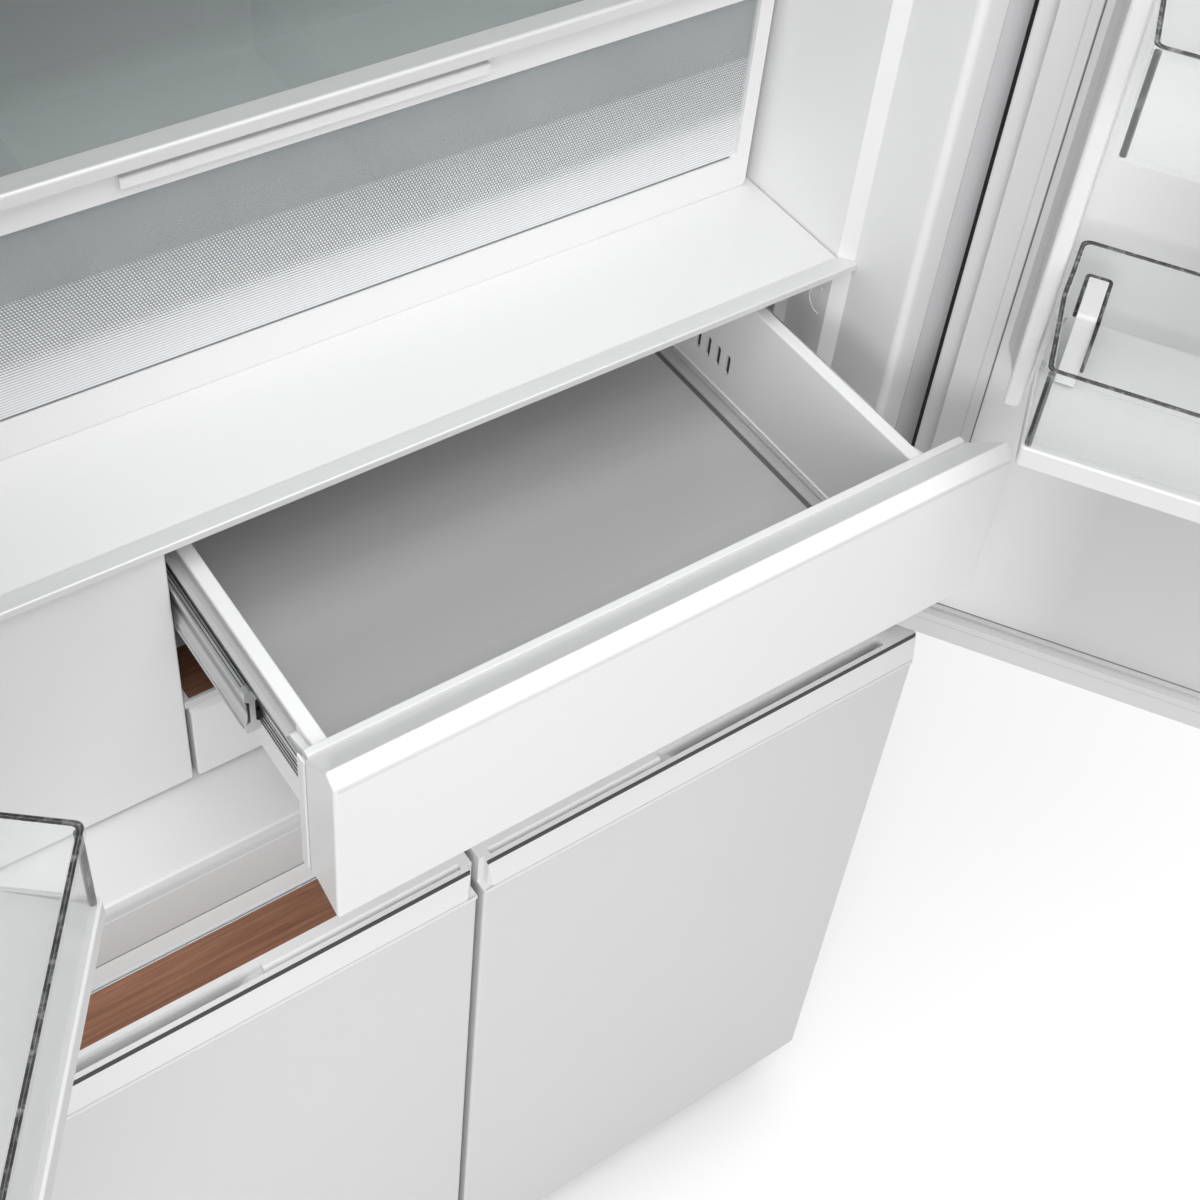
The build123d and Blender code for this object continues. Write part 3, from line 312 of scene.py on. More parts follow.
def woodgrain(name, tone=1.0):
    """Walnut print: long dark fibres along X, slow bands and fine pores."""
    mat, nt, bsdf = new_material(name)
    warp = noise(nt, coords(nt, (1.0, 9.0, 9.0)), 4.0, 4.0, 0.6)
    bands = noise(nt, coords(nt, (1.4, 60.0, 60.0)), 6.0, 6.0, 0.62)
    fibres = noise(nt, coords(nt, (5.0, 330.0, 330.0)), 5.0, 5.0, 0.75)
    grain = maths(nt, "ADD", maths(nt, "MULTIPLY", bands, 0.4), maths(nt, "MULTIPLY", fibres, 0.6))
    grain = maths(nt, "ADD", grain, maths(nt, "MULTIPLY", maths(nt, "SUBTRACT", warp, 0.5), 0.25))
    stops = [(0.28, (0.085, 0.032, 0.016)), (0.46, (0.205, 0.085, 0.045)),
             (0.58, (0.30, 0.135, 0.075)), (0.76, (0.40, 0.20, 0.12))]
    base = ramp(nt, grain, [(pos, shade(col, tone)) for pos, col in stops])
    nt.links.new(base, bsdf.inputs["Base Color"])
    bsdf.inputs["Roughness"].default_value = 0.42
    bump(nt, bsdf, fibres, 0.2, 0.0001)
    return mat


# moulded takes a colour, roughness, spread of the colour, grain and its depth, coat and specular;
# brushed takes a colour, roughness, scale along each axis, metallic, depth and fineness
M = {
    "door": moulded("door_white", (0.72, 0.72, 0.725), 0.3, 0.01, 2500, 0.00001, 0.2),
    "shell": moulded("shell_white", (0.72, 0.72, 0.73), 0.38, 0.015, 1400, 0.00004),
    # painted light: the rail's cool tint offsets the warm light bounced onto it from the wood strip
    "rail": moulded("rail_cool_against_bounce", (0.83, 0.865, 0.875), 0.34, 0.01),
    "plastic": moulded("plastic_white", (0.82, 0.82, 0.825), 0.32, 0.012, 900, 0.00002, 0.15),
    "drawer": moulded("drawer_white", (0.80, 0.80, 0.80), 0.3, 0.008, 2500, 0.00001, 0.1, 0.4),
    # painted light: the drawer's box takes a lighter copy of the drawer white, to brighten its shaded
    # walls
    "box": moulded("box_white_lit", (0.87, 0.87, 0.87), 0.34, 0.008, 1500, 0.00002, 0, 0.4),
    "liner": moulded("liner_white", (0.82, 0.82, 0.82), 0.42, 0.012, 1200, 0.00003),
    # fridge liner, with painted shade on its low front face
    "sill": liner_with_painted_sill_shade("liner_and_painted_sill_shade", (0.84, 0.84, 0.84), (0.60, 0.60, 0.60)),
    # door liner: painted shade on its flat plate, painted light on its bars
    "door_liner": liner_painted_light("door_liner_painted_shade", (0.62, 0.62, 0.62), (0.84, 0.84, 0.84)),
    "grey": moulded("grey_plastic", (0.60, 0.60, 0.605), 0.42, 0.015),
    "plate": moulded("cover_white", (0.80, 0.80, 0.80), 0.22, 0.006, 2500, 0.00001, 0.25),
    "seal": moulded("seal_grey", (0.66, 0.66, 0.66), 0.55, 0.02, 1500, 0.00005, 0, 0.3),
    "line": moulded("seam_grey", (0.20, 0.20, 0.205), 0.5, 0.04, 1500, 0.00003),
    "soft_line": moulded("seam_pale", (0.50, 0.50, 0.505), 0.5, 0.04, 1500, 0.00003),
    "fold": moulded("seal_fold", (0.56, 0.56, 0.56), 0.6, 0.02, 1500, 0.00003, 0, 0.3),
    # painted shade in the bottom of the tray's groove
    "groove": brushed("tray_groove_shade", (0.16, 0.16, 0.162), 0.5, (0.04, 1, 1), 0.3, 0.00001, 30.0),
    "ledge": moulded("ledge_white", (0.50, 0.50, 0.50), 0.4, 0.012, 1200, 0.00003),
    # painted shade: bin bases take a greyer copy of the white plastic
    "base": moulded("base_white_shaded", (0.72, 0.72, 0.72), 0.34, 0.012, 900, 0.00002),
    # painted shade: the bottle holder takes a greyer copy of the white plastic
    "holder": moulded("holder_white_shaded", (0.70, 0.70, 0.70), 0.4, 0.012, 1200, 0.00003),
    "dark": moulded("dark_strip", (0.045, 0.045, 0.048), 0.35, 0.05, 1500, 0.00002),
    "black": moulded("black_plastic", (0.02, 0.02, 0.02), 0.42, 0.06, 1000, 0.00004),
    "pot": moulded("black_paint", (0.025, 0.025, 0.026), 0.35, 0.06, 500, 0.00004, 0.3),
    "rear": brushed("rear_steel", (0.50, 0.51, 0.52), 0.5, (1, 1, 0.05)),
    "hinge": moulded("hinge_paint", (0.46, 0.46, 0.47), 0.4, 0.03),
    "trim": brushed("satin_trim", (0.74, 0.74, 0.74), 0.42, (0.03, 1, 1), 0.25),
    "tray": brushed("tray_steel", (0.54, 0.54, 0.542), 0.45, (0.04, 1, 1), 0.25, 0.00001, 30.0),
    "slide": brushed("slide_steel", (0.66, 0.66, 0.67), 0.28, (1, 0.04, 1), 0.85),
    "rolled": painted_reflection_bands("slide_rolled", MEMBER_Z - 0.0135, MEMBER_Z + 0.0140),
    "wood": woodgrain("walnut"),
    # painted shade: the deli strip is the walnut darkened as if in shadow
    "deli_wood": woodgrain("walnut_painted_shade", 0.62),
    "clear": clear("clear_plastic", (0.93, 0.95, 0.955), 0.1),
    "bins": clear("clear_bins", (0.90, 0.92, 0.925), 0.1),
    # clear edges: painted shade and light of thick clear plastic seen end on
    "edge": painted_clear_edge("clear_edge", (0.08, 0.15, 0.34), 0.8),
    "edge_dark": painted_clear_edge("clear_edge_dark", (0.018, 0.045, 0.24), 0.96),
    "cap": moulded("cap_black", (0.012, 0.012, 0.012), 0.55, 0.06, 1000, 0.00003, 0, 0.2),
    "frit": frit("crisper_screen", WINDOW[0], WINDOW[0] + SCREEN_H),
    "frost": clear("frosted_drawers", (0.85, 0.88, 0.90), 0.45, 0.3),
    "glass": clear("shelf_glass", (0.82, 0.92, 0.90), 0.15, 0.03),
    "lamp": moulded("lamp_cover", (0.86, 0.86, 0.83), 0.5, 0.01),
}

LOOK = {
    "cabinet_shell": "shell", "back_panel": "rear", "cross_rail": "rail", "fridge_liner": "sill",
    "freezer_liner": "liner", "divider_panel": "plastic", "cover_plate": "plate", "cover_trim": "trim",
    "deli_plate": "grey", "deli_wood_strip": "deli_wood", "shelf_glass": "glass", "air_duct": "plastic",
    "lamp_cover": "lamp", "slide_fixed": "slide", "plinth": "grey", "base_rails": "rear",
    "levelling_feet": "black", "compressor_cover": "rear", "compressor": "pot", "hinges_top": "hinge",
    "hinge_covers": "plastic", "hinges_mid": "hinge", "hinges_bottom": "hinge", "rear_roller": "black",
    "door_r_panel": "door", "door_r_liner": "door_liner", "door_r_gasket": "seal", "bin_r_base": "base",
    "bins_r": "bins", "snugger": "plastic", "snugger_clip": "clear", "door_l_panel": "door",
    "door_l_liner": "door_liner", "door_l_gasket": "seal", "bin_l_base": "base", "bins_l": "bins",
    "mullion_flap": "plastic", "chilled_front": "drawer", "chilled_box": "drawer", "chilled_tray": "tray",
    "slide_inner": "slide", "slide_middle": "slide", "small_drawer": "drawer", "flex_drawer": "drawer",
    "crisper_box": "clear", "crisper_front": "plastic", "freezer_drawers_r": "frost",
    "freezer_drawers_l": "frost",
}
for side in "rl":
    for part, look in (("panel", "door"), ("cap", "plastic"), ("strip", "dark"), ("wood", "wood"),
                       ("liner", "liner"), ("gasket", "seal")):
        LOOK[f"lower_{side}_{part}"] = look
for name, look in LOOK.items():
    data = nodes[name].data
    data.materials.clear()
    data.materials.append(M[look])


# Mesh helpers

def arcs(*points):
    """Closed ring of 2-D points; a third number rounds that corner."""
    ring = []
    n = len(points)
    steps = 4                       # straight pieces in each rounded corner
    for i, p in enumerate(points):
        here = Vector(p[:2])
        if len(p) < 3 or p[2] == 0:
            ring.append(here)
            continue
        before = Vector(points[i - 1][:2]) - here
        after = Vector(points[(i + 1) % n][:2]) - here
        half = before.angle(after) / 2
        reach = min(p[2] / math.tan(half), before.length * 0.49, after.length * 0.49)
        radius = reach * math.tan(half)
        centre = here + (before.normalized() + after.normalized()).normalized() * (radius / math.sin(half))
        start = here + before.normalized() * reach - centre
        end = here + after.normalized() * reach - centre
        turn = start.angle_signed(end)
        for k in range(steps + 1):
            a = -turn * k / steps
            ring.append(centre + Vector((start.x * math.cos(a) - start.y * math.sin(a),
                                         start.x * math.sin(a) + start.y * math.cos(a))))
    return ring


def prism(bm, axis, ring, a0, a1, soft=0.0):
    """Extrudes a ring along x, y or z; the ring holds the other two coordinates in order."""
    put = {"x": lambda d, p: (d, p[0], p[1]), "y": lambda d, p: (p[0], d, p[1]),
           "z": lambda d, p: (p[0], p[1], d)}[axis]
    low = [bm.verts.new(put(a0, p)) for p in ring]
    high = [bm.verts.new(put(a1, p)) for p in ring]
    faces = [bm.faces.new(low), bm.faces.new(high[::-1])]
    for i in range(len(ring)):
        j = (i + 1) % len(ring)
        faces.append(bm.faces.new((low[i], high[i], high[j], low[j])))
    bmesh.ops.recalc_face_normals(bm, faces=faces)
    if soft:
        edges = list({e for f in faces for e in f.edges})
        bmesh.ops.bevel(bm, geom=edges, offset=soft, segments=3, profile=0.5, affect="EDGES",
                        clamp_overlap=True)


def square(u0, u1, v0, v1, r=0.0):
    """Ring of a rectangle, with its corners rounded by r."""
    return arcs((u0, v0, r), (u1, v0, r), (u1, v1, r), (u0, v1, r))


def turned(side):
    """Moves a piece drawn on the closed right or left door to where the open door is."""
    pin = Vector((PIN_X * side, PIN_Y, 0))
    return Matrix.Translation(pin) @ Matrix.Rotation(OPEN * side, 4, "Z") @ Matrix.Translation(-pin)


def piece(name, body, look, build, place=None):
    """Makes one mesh piece from build(bm), moves it to its place and lets it ride on a body."""
    bm = bmesh.new()
    build(bm)
    if place is not None:
        bm.transform(place)
    if place is not None and place.is_negative:
        bmesh.ops.reverse_faces(bm, faces=bm.faces)
    mesh = bpy.data.meshes.new(name)
    bm.to_mesh(mesh)
    bm.free()
    obj = bpy.data.objects.new(name, mesh)
    bpy.context.scene.collection.objects.link(obj)
    mesh.materials.append(M[look])
    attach(obj, body)
    return obj


def bar(name, body, look, axis, ring, a, b, soft=0.0, place=None):
    """A piece that is one prism."""
    return piece(name, body, look, lambda bm: prism(bm, axis, ring, a, b, soft), place)


def tube(name, body, look, lines, radius, closed=False, place=None):
    """Thin round bead or pipe along one or more lines of 3-D points."""
    curve = bpy.data.curves.new(name, "CURVE")
    curve.dimensions = "3D"
    curve.bevel_depth = radius
    curve.bevel_resolution = 2
    curve.use_fill_caps = True
    for points in lines:
        spline = curve.splines.new("POLY")
        spline.points.add(len(points) - 1)
        for sp, p in zip(spline.points, points):
            q = place @ Vector(p) if place is not None else Vector(p)
            sp.co = (q.x, q.y, q.z, 1)
        spline.use_cyclic_u = closed
    obj = bpy.data.objects.new(name, curve)
    bpy.context.scene.collection.objects.link(obj)
    curve.materials.append(M[look])
    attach(obj, body)
    return obj


def both_sides(side):
    """The place of a piece drawn on the right: as drawn, or mirrored."""
    return Matrix.Identity(4) if side > 0 else Matrix.Scale(-1, 4, (1, 0, 0))


# Cabinet details

SIDES = ((1, "r", "right"), (-1, "l", "left"))
RIDGE_Z = 0.8018


def cabinet_details():
    """Seam over the cross rail, ridge along the sill, and two upright strips on each side: a joint line,
    and a black strip of painted shade for the gap beside the open door.
    """
    low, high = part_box("door_r_panel")[0][2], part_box("door_r_panel")[1][2]
    rail_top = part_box("cross_rail")[1][2]
    seam = square(FLANGE_Y - 0.0002, FLANGE_Y + 0.0005, rail_top - 0.0004, rail_top + 0.0005)
    bar("rail_seam", "cabinet", "line", "x", seam, -LINER_EDGE, LINER_EDGE)
    ridge = square(FLANGE_Y - 0.00015, FLANGE_Y + 0.0004, RIDGE_Z, RIDGE_Z + 0.0006, 0.0002)
    bar("sill_ridge", "cabinet", "plastic", "x", ridge, -LINER_EDGE, LINER_EDGE)
    edge = square(HALF_W - 0.0052, HALF_W - 0.0003, FLANGE_Y - 0.0003, FLANGE_Y + 0.0006)
    joint = square(LINER_EDGE, LINER_EDGE + 0.0006, FLANGE_Y - 0.0002, FLANGE_Y + 0.0004)
    joint_high = high - 0.012
    for side, tag, _ in SIDES:
        place = both_sides(side)
        # painted shade: black strip for the shadowed gap between the cabinet's side edge and the open door
        bar("edge_gap_shade_" + tag, "cabinet", "black", "z", edge, low, high, 0.0, place)
        bar("flange_joint_" + tag, "cabinet", "soft_line", "z", joint, low, joint_high,
            0.0, place)


def rear_details():
    """Screw heads of the sheet cover over the machine bay and of the back panel."""
    cover_x, panel_x = 0.012, 0.010         # from the side edges
    panel_screws, first, pitch = 5, 0.06, 0.36
    around = 16
    profile = ((0.0042, 0.0), (0.0042, 0.0008), (0.0028, 0.0017), (0.0012, 0.0020))
    (x0, _, z0), (x1, y1, z1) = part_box("compressor_cover")
    spots = [(x, y1, z) for x in (x0 + cover_x, 0.0, x1 - cover_x) for z in (z0 + 0.010, z1 - 0.008)]
    panel_low, panel_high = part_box("back_panel")
    for x in (panel_low[0] + panel_x, panel_high[0] - panel_x):
        spots += [(x, PANEL_BACK, panel_low[2] + first + pitch * i) for i in range(panel_screws)]

    def screws(bm):
        angles = [math.tau * i / around for i in range(around)]
        for x, y, z in spots:
            rings = []
            for radius, out in profile:
                rings.append([bm.verts.new((x + radius * math.cos(a), y + out, z + radius * math.sin(a)))
                              for a in angles])
            for low, high in zip(rings, rings[1:]):
                for i in range(around):
                    j = (i + 1) % around
                    bm.faces.new((low[i], low[j], high[j], high[i]))
            bm.faces.new(rings[0][::-1])
            bm.faces.new(rings[-1])
        bmesh.ops.recalc_face_normals(bm, faces=bm.faces)

    piece("rear_screws", "cabinet", "slide", screws)


# Crisper

def crisper_details():
    """The printed pane behind the window, and the dark line at its foot."""
    side_frame, fit = 0.0116, 0.0001
    (x0, _, _), (x1, y, _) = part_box("crisper_front")
    x0, x1 = x0 + side_frame, x1 - side_frame
    low, high = WINDOW[0] + fit, WINDOW[1] - fit
    pane = square(x0, x1, low, high, 0.0049)
    bar("crisper_pane", "crisper", "frit", "y", pane, y - 0.0022, y - 0.0004)
    sill = square(y - 0.0028, y - 0.0021, low, low + 0.0008)
    bar("crisper_sill", "crisper", "line", "x", sill, x0 + 0.005, x1 - 0.005)


# Chilled drawer and its slides

def front_details():
    """Two fine lines along the front, its brackets, and the rib behind its left end."""
    (x0, y, bottom), (x1, _, top) = DRAWER_FRONT
    (box_left, box_front, _), (box_right, _, box_top) = DRAWER_BOX
    line, end_gap = 0.0004, 0.0025
    for i, down in enumerate((0.0092, 0.0108)):
        crease = square(y - 0.00005, y + 0.0002, top - down, top - down + line)
        bar(f"front_crease_{i}", "chilled_drawer", "soft_line", "x", crease,
            x0 + end_gap, x1 - end_gap)

    # bracket that holds the front to the box, at both ends
    thick, start, end = 0.0048, box_front + 0.0002, box_front + 0.020
    bracket = arcs((start, box_top - 0.0120), (end, box_top - 0.0120, 0.001),
                   (end, box_top - 0.0075, 0.002), (start, box_top - 0.0030))
    for tag, a, b in (("l", box_left - thick, box_left), ("r", box_right, box_right + thick)):
        bar("front_bracket_" + tag, "chilled_drawer", "drawer", "x", bracket, a, b, 0.0006)

    # upright rib along the back of the front's left end, with a groove before it
    foot, head = bottom + 0.0085, box_top + 0.002
    rib = square(x0 - 0.0011, x0 + 0.0004, box_front - 0.0080, box_front - 0.0008, 0.0005)
    bar("front_rib", "chilled_drawer", "drawer", "z", rib, foot, head, 0.0005)
    groove = square(x0 - 0.00008, x0 + 0.0004, box_front - 0.0096, box_front - 0.0086)
    bar("front_groove", "chilled_drawer", "soft_line", "z", groove, foot, head)


def member_details(side, tag):
    """Rolled edges and closed face of a middle slide member, its dark lines and black end caps."""
    (left, y0, z0), (_, y1, z1) = MEMBER
    middle = (DRAWER_BOX[0][0] + DRAWER_BOX[1][0]) / 2
    outer = middle + side * (middle - left)

    def inward(depth):
        return outer - side * depth

    edges = ((inward(0.0094), z1 - 0.001), (inward(-0.0001), z1 - 0.001), (inward(-0.0001), z0 + 0.001))
    tube("member_edges_" + tag, "slide_members", "slide",
         [[(x, y0 + 0.004, z), (x, y1, z)] for x, z in edges], 0.0009)
    for k, (near, far) in enumerate(((0.0046, 0.0052), (0.0030, 0.0036), (0.0009, 0.0014))):
        a, b = sorted((inward(near), inward(far)))
        bar(f"member_line_{tag}{k}", "slide_members", "black", "y",
            square(a, b, z1 - 0.0004, z1 + 0.00015), y0 + 0.006, y1)

    # rolled face that closes the channel: how far in it lies, and how far from mid height
    sheet = 0.0005
    bow = ((0.0001, 0.0122), (0.0009, 0.0060), (0.0012, 0.0), (0.0009, -0.0060), (0.0001, -0.0122))
    face = [Vector((inward(depth), MEMBER_Z + z)) for depth, z in bow]
    face += [Vector((inward(depth + sheet), MEMBER_Z + z)) for depth, z in bow[::-1]]
    # the rolled face carries painted reflection bands
    bar("member_face_" + tag, "slide_members", "rolled", "y", face, y0 + 0.001, y1)

    a, b = sorted((inward(0.0034), inward(0.0097)))
    for k, (low, high) in enumerate(((-0.0115, -0.001), (0.0005, 0.0078))):
        cap = square(a, b, MEMBER_Z + low, MEMBER_Z + high, 0.0024)
        bar(f"member_cap_{tag}{k}", "slide_members", "cap", "y", cap,
            y0 + 0.0001 + 0.0010 * k, y0 + 0.0080, 0.0005)


def ledge_details(side, tag):
    """Ledge of the box over an inner slide member, and that member's lower part with dark lines of painted
    shade along its races.
    """
    plate = DRAWER_BOX[0][0] if side < 0 else DRAWER_BOX[1][0]
    box_top = DRAWER_BOX[1][2]
    (_, front, low), (_, y1, z1) = INNER
    y0 = front + 0.001

    def out(depth):
        return plate + side * depth

    lip, cover = 0.0068, 0.0004
    shelf = ((-0.0002, z1 - 0.0005), (lip, z1 - 0.0005), (lip, z1 + 0.0003), (0.0034, z1 + 0.0005),
             (0.0032, z1 + 0.0010), (cover, z1 + 0.0012), (cover, box_top - 0.0016),
             (-0.0002, box_top - 0.0016))
    ring = [Vector((out(depth), z)) for depth, z in shelf]
    bar("box_ledge_" + tag, "chilled_drawer", "ledge", "y", ring, y0 + 0.018, y1)
    a, b = sorted((out(0.0001), out(0.0018)))
    skirt = square(a, b, MEMBER_Z - 0.0180, low + 0.0005, 0.0004)
    bar("slide_skirt_" + tag, "chilled_drawer", "slide", "y", skirt, y0, y1)

    # painted shade: dark lines, one on the ledge's lip, the others along the skirt's races
    race_shades = [(out(lip), z1 - 0.0040, z1 - 0.0022)]
    for below, above in ((0.0020, 0.0005), (0.0068, 0.0050), (0.0112, 0.0098), (0.0156, 0.0142)):
        race_shades.append((out(0.0019), MEMBER_Z - below, MEMBER_Z - above))
    for k, (x, low, high) in enumerate(race_shades):
        a, b = sorted((x - side * 0.0002, x + side * 0.00015))
        bar(f"slide_race_shade_{tag}{k}", "chilled_drawer", "black", "y",
            square(a, b, low, high), y0, y1)


def tray_details():
    """Dark bottom of the tray's inner groove, painted as shade, and the pale foot of the box's side walls.
    """
    (x0, y0, _), (x1, y1, top) = DRAWER_TRAY
    inset, width, corner = 0.0137, 0.0041, 0.008
    low, high = top - 0.0014, top - 0.0010
    a0, a1, b0, b1 = x0 + inset, x1 - inset, y0 + inset, y1 - inset

    def groove(bm):
        for u0, u1 in ((a0, a0 + width), (a1 - width, a1)):
            prism(bm, "z", square(u0, u1, b0 + corner, b1 - corner), low, high)
        for v0, v1 in ((b0, b0 + width), (b1 - width, b1)):
            prism(bm, "z", square(a0 + corner, a1 - corner, v0, v1), low, high)

    piece("tray_groove_shade", "chilled_drawer", "groove", groove)
    foot_z = top + 0.0006
    feet = [[(x, y0 + 0.001, foot_z), (x, y1 - 0.012, foot_z)] for x in (x0 - 0.0002, x1 + 0.0002)]
    tube("wall_foot", "chilled_drawer", "box", feet, 0.0011)


def box_undercut():
    """The chilled box again, with its long walls stepped in below the slides."""
    step, over = 0.0078, 0.005
    (x0, y0, z0), (x1, y1, _) = DRAWER_BOX
    bm = bmesh.new()
    bm.from_mesh(nodes["chilled_box"].data)
    bmesh.ops.remove_doubles(bm, verts=bm.verts, dist=1e-6)
    mesh = bpy.data.meshes.new("box_stepped")
    bm.to_mesh(mesh)
    bm.free()
    box = bpy.data.objects.new("box_stepped", mesh)
    cut_bm = bmesh.new()
    for a, b in ((x0 - over, x0 + step), (x1 - step, x1 + over)):
        prism(cut_bm, "y", square(a, b, z0 - over, MEMBER[0][2] + 0.0010), y0 - over, y1 + over)
    cut_mesh = bpy.data.meshes.new("step_cutter")
    cut_bm.to_mesh(cut_mesh)
    cut_bm.free()
    cutter = bpy.data.objects.new("step_cutter", cut_mesh)
    for obj in (box, cutter):
        bpy.context.scene.collection.objects.link(obj)
    cut = box.modifiers.new("step", "BOOLEAN")
    cut.operation = "DIFFERENCE"
    cut.solver = "EXACT"
    cut.object = cutter
    view = bpy.context.evaluated_depsgraph_get()
    box.data = bpy.data.meshes.new_from_object(box.evaluated_get(view))
    box.modifiers.clear()
    bpy.data.objects.remove(cutter)
    bpy.data.meshes.remove(cut_mesh)
    box.data.materials.clear()
    # painted light: the box takes a lighter copy of the drawer white
    box.data.materials.append(M["box"])
    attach(box, "chilled_drawer")
    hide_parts("chilled_box")

    # painted shade: dark patch on the right wall's step, where the slots are, so that they look dark
    wall = x1 - step
    patch = square(y0 + 0.182, y0 + 0.242, z0 + 0.029, z0 + 0.050, 0.002)
    bar("slot_shade", "chilled_drawer", "black", "x", patch, wall + 0.0001, wall + 0.0007)


# Lower doors

def lower_door_details():
    """Black strip carried up over the cap's edge, and the fine joint between cap and panel."""
    (x0, y0, z0), (x1, _, _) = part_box("lower_r_strip")
    cap_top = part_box("lower_r_cap")[1][2]
    seam_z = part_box("lower_r_panel")[1][2] + 0.0050
    proud, edge_front, edge_back = 0.00012, 0.0047, 0.0053
    strip = [Vector(p) for p in ((y0 + 0.0003, z0 + 0.0012), (y0 - proud, z0 + 0.0014),
                                 (edge_front, cap_top + proud), (edge_back, cap_top + 0.00015),
                                 (edge_back, cap_top - 0.0004))]
    seam = square(-proud, 0.0006, seam_z, seam_z + 0.0005)
    for side, tag, word in SIDES:
        place = both_sides(side)
        bar("strip_edge_" + tag, "lower_door_" + word, "dark", "x", strip, x0, x1,
            0.0, place)
        bar("cap_joint_" + tag, "lower_door_" + word, "soft_line", "x", seam,
            x0 - 0.003, x1, 0.0, place)


# Upper doors, all drawn on the closed right door

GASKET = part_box("door_r_gasket")
GASKET_X0, GASKET_X1, GASKET_W = 0.006, 0.401, 0.024
GASKET_FACE = FLANGE_Y - 0.0003
LINER_FACE = 0.044


def gasket_frame(bm, inset, width, y0, y1):
    """Four strips that go round the door, set in from the gasket's outer edge."""
    x0, x1 = GASKET_X0 + inset, GASKET_X1 - inset
    z0, z1 = GASKET[0][2] + inset, GASKET[1][2] - inset
    prism(bm, "z", square(x0, x0 + width, y0, y1), z0, z1)
    prism(bm, "z", square(x1 - width, x1, y0, y1), z0, z1)
    prism(bm, "x", square(y0, y1, z0, z0 + width), x0 + width, x1 - width)
    prism(bm, "x", square(y0, y1, z1 - width, z1), x0 + width, x1 - width)


def gasket_lines():
    """Dark seam where the gasket meets the door liner, and the fold along the gasket's face."""
    fold_inset = 0.0165
    for side, tag, word in SIDES:
        place = turned(side) @ both_sides(side)
        piece("gasket_seam_" + tag, "upper_door_" + word, "line",
              lambda bm: gasket_frame(bm, GASKET_W, 0.0009, LINER_FACE, LINER_FACE + 0.0004), place)
        piece("gasket_fold_" + tag, "upper_door_" + word, "fold",
              lambda bm: gasket_frame(bm, fold_inset, 0.0012, GASKET_FACE - 0.0002, GASKET_FACE + 0.00008),
              place)


BIN_X0, BIN_X1, BIN_BACK, BIN_FRONT = 0.0733, HALF_W - 0.0673, 0.070, 0.203
BIN_DEPTHS = (BIN_FRONT, 0.182, 0.150)      # the lowest bin first
RIM_TOPS = (1.1747, 1.3805, 1.6002)
WALL_H = 0.0698                             # clear wall of a bin that has no white base


def bin_ring(inset, depth):
    """A bin's outline from above; bins that are not so deep end at their depth."""
    widest, waist, step = 0.130, 0.105, 0.0006
    front_r, back_r = 0.004, 0.006
    x0, x1 = BIN_X0 + inset, BIN_X1 - inset
    y0, y1 = BIN_BACK + inset, depth - inset
    lean = 0.0062 * (depth - widest) / (BIN_FRONT - widest)
    return arcs((x0 + lean, y1, front_r), (x0, widest), (x0 + step, waist), (x0 + step, y0, back_r),
                (x1 - step, y0, back_r), (x1 - step, waist), (x1, widest), (x1 - lean, y1, front_r))


def bin_details():
    """Dark double edge and paler bead of each rim, and the thick corners at the bin's front, all painted
    as the shade and light seen in the clear plastic.
    """
    base_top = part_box("bin_r_base")[1][2]
    for side, tag, word in SIDES:
        place = turned(side) @ both_sides(side)
        body = "upper_door_" + word
        for k, (rim_top, depth) in enumerate(zip(RIM_TOPS, BIN_DEPTHS)):
            top = rim_top - 0.0002
            lines = [[(p.x, p.y, top) for p in bin_ring(inset, depth)] for inset in (0.0013, 0.0031)]
            tube(f"bin_rim_{tag}{k}", body, "edge_dark", lines, 0.00055, True, place)
            bead = [[(p.x, p.y, top - 0.0006) for p in bin_ring(0.0022, depth)]]
            tube(f"bin_bead_{tag}{k}", body, "edge", bead, 0.0008, True, place)
            low = (base_top if k == 0 else top - WALL_H) + 0.0004
            ring = bin_ring(0.0030, depth)
            posts = [[(p.x, p.y, low), (p.x, p.y, top - 0.004)] for p in (ring[2], ring[-3])]
            tube(f"bin_corner_{tag}{k}", body, "edge_dark", posts, 0.0021, False, place)


def holder_details():
    """The white bottle holder with its ledge, in a greyer copy of the white plastic as painted shade, and
    the dark edges of the clear clip around it, drawn as painted shade and light.
    """
    place = turned(1)
    (_, _, floor_z), (_, _, top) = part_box("snugger")
    x1 = BIN_X1 - 0.0130
    x0 = x1 - 0.0122
    y0, ledge, foot = 0.0965, 0.136, 0.140
    profile = arcs((y0, floor_z + 0.030, 0.002), (y0, top - 0.002, 0.002), (ledge, top - 0.003, 0.003),
                   (foot, floor_z, 0.001), (y0 + 0.028, floor_z))
    block = bar("holder_block", "bottle_holder", "holder", "x", profile, x0, x1,
                0.0008, place)
    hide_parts("snugger")

    # the clip stands a little off the block and runs down its front
    off, down = 0.0014, 0.002
    clip_x, clip_front = x0 - off, ledge + down
    loop = arcs((clip_x, clip_front), (clip_x, y0 - off, 0.002), (x1 + off, y0 - off, 0.002),
                (x1 + off, ledge - 0.010))
    edges = [[(p.x, p.y, z) for p in loop] for z in (top - 0.0122, top - 0.0034)]
    edges.append([(clip_x, clip_front, top - 0.004), (clip_x, foot + down, floor_z + 0.016)])
    # painted shade and light: the clear clip's edges drawn as dark tubes
    clip = tube("clip_edges", "bottle_holder", "edge_dark", edges, 0.0012, False, place)
    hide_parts("snugger_clip")


cabinet_details()
rear_details()
crisper_details()
front_details()
for slide_side, slide_tag in ((-1, "l"), (1, "r")):
    member_details(slide_side, slide_tag)
    ledge_details(slide_side, slide_tag)
tray_details()
box_undercut()
lower_door_details()
gasket_lines()
bin_details()
holder_details()


# Camera: the view worked out from the photo's own straight edges

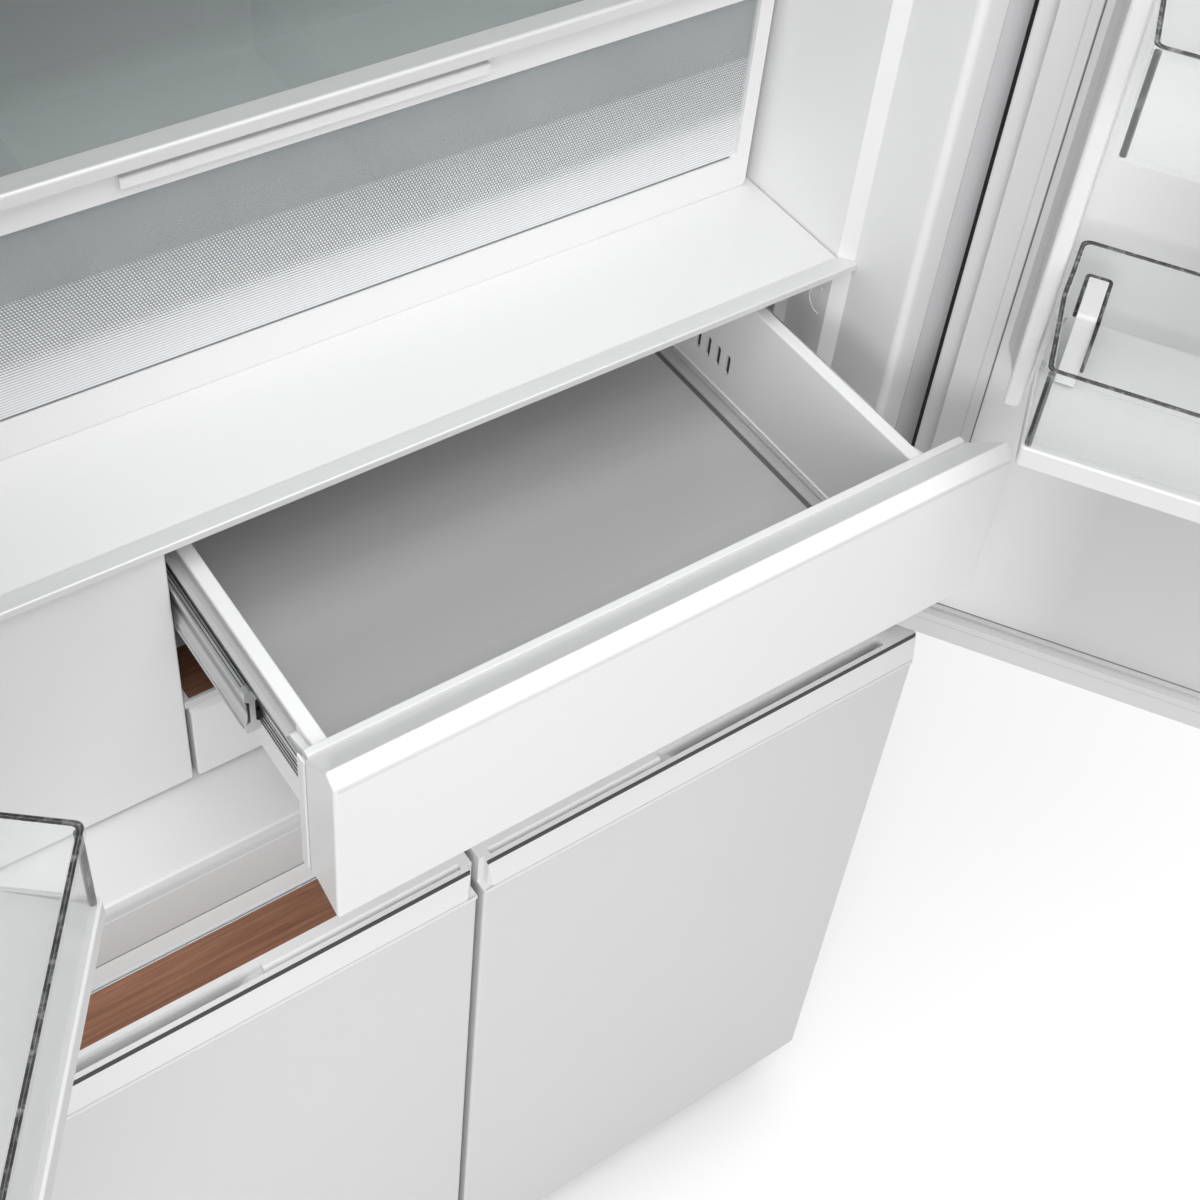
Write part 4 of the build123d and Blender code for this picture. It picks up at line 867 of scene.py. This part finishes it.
PHOTO_PX = 1200                             # width and height of the picture
FOCAL_PX = 1901.4947
AXIS_PX = (616.0686, 485.1154)              # where the camera's axis meets the picture
CAMERA_AT = (-0.4217747, -0.5994968, 1.8966488)
CAMERA_TURN = (43.79249, -4.86588, -34.792)     # degrees about X, then Y, then Z
SENSOR_MM = 36.0


def camera():
    data = bpy.data.cameras.new("camera")
    obj = bpy.data.objects.new("camera", data)
    bpy.context.scene.collection.objects.link(obj)
    turn = Euler([math.radians(angle) for angle in CAMERA_TURN], "XYZ")
    obj.matrix_world = Matrix.Translation(CAMERA_AT) @ turn.to_matrix().to_4x4()
    data.sensor_width = SENSOR_MM
    data.sensor_fit = "HORIZONTAL"
    data.lens = FOCAL_PX / PHOTO_PX * SENSOR_MM
    data.shift_x = -(AXIS_PX[0] - PHOTO_PX / 2) / PHOTO_PX
    data.shift_y = (AXIS_PX[1] - PHOTO_PX / 2) / PHOTO_PX
    data.clip_start = 0.02
    data.clip_end = 60
    bpy.context.scene.camera = obj


# Floor, world and lamps; the floor looks white and sends less light back up

FLOOR_HALF = 9
FLOOR_SEEN = (0.90, 0.90, 0.90)
FLOOR_BOUNCE = (0.50, 0.50, 0.50)
SKY_LOW, SKY_HIGH = 0.50, 1.05


def floor():
    mesh = bpy.data.meshes.new("floor")
    bm = bmesh.new()
    corners = ((-1, -1), (1, -1), (1, 1), (-1, 1))
    bm.faces.new([bm.verts.new((x * FLOOR_HALF, y * FLOOR_HALF, 0)) for x, y in corners])
    bm.to_mesh(mesh)
    bm.free()
    obj = bpy.data.objects.new("floor", mesh)
    bpy.context.scene.collection.objects.link(obj)
    mat, nt, bsdf = new_material("floor_pale")
    path = nt.nodes.new("ShaderNodeLightPath")
    tint = mixed(nt, path.outputs["Is Camera Ray"], FLOOR_BOUNCE, FLOOR_SEEN)
    nt.links.new(tint, bsdf.inputs["Base Color"])
    bsdf.inputs["Roughness"].default_value = 0.7
    mesh.materials.append(mat)


def studio_world():
    """White where it is seen or mirrored; as a light it grows stronger towards the zenith."""
    world = bpy.data.worlds.new("studio")
    bpy.context.scene.world = world
    world.use_nodes = True
    nt = world.node_tree
    for n in list(nt.nodes):
        nt.nodes.remove(n)
    output = nt.nodes.new("ShaderNodeOutputWorld")
    mix = nt.nodes.new("ShaderNodeMixShader")
    light = nt.nodes.new("ShaderNodeBackground")
    backdrop = nt.nodes.new("ShaderNodeBackground")
    path = nt.nodes.new("ShaderNodeLightPath")
    direction = nt.nodes.new("ShaderNodeTexCoord")
    sep = nt.nodes.new("ShaderNodeSeparateXYZ")
    nt.links.new(direction.outputs["Generated"], sep.inputs[0])
    light.inputs["Color"].default_value = (1, 1, 1, 1)
    nt.links.new(span(nt, sep.outputs["Z"], 0.0, 0.8, SKY_LOW, SKY_HIGH), light.inputs["Strength"])
    backdrop.inputs["Color"].default_value = (1, 1, 1, 1)
    backdrop.inputs["Strength"].default_value = 1.0
    seen = maths(nt, "MAXIMUM", path.outputs["Is Camera Ray"], path.outputs["Is Glossy Ray"])
    seen = maths(nt, "MAXIMUM", seen, path.outputs["Is Transmission Ray"])
    nt.links.new(seen, mix.inputs[0])
    nt.links.new(light.outputs[0], mix.inputs[1])
    nt.links.new(backdrop.outputs[0], mix.inputs[2])
    nt.links.new(mix.outputs[0], output.inputs[0])


def lamp(name, place, target, size, power):
    data = bpy.data.lights.new(name, "AREA")
    data.shape = "RECTANGLE"
    data.size, data.size_y = size
    data.energy = power
    obj = bpy.data.objects.new(name, data)
    bpy.context.scene.collection.objects.link(obj)
    obj.location = place
    obj.rotation_euler = (Vector(target) - Vector(place)).to_track_quat("-Z", "Y").to_euler()


camera()
floor()
studio_world()
lamp("key", (-1.6, -2.2, 3.4), (0.0, 0.2, 0.9), (1.8, 1.8), 10)
lamp("top", (-0.1, -0.9, 3.4), (0.1, 0.3, 0.9), (2.2, 1.4), 33)
lamp("side", (-1.5, -1.7, 1.7), (0.35, 0.2, 1.05), (1.2, 0.8), 19)

bpy.context.scene.view_settings.view_transform = "Standard"
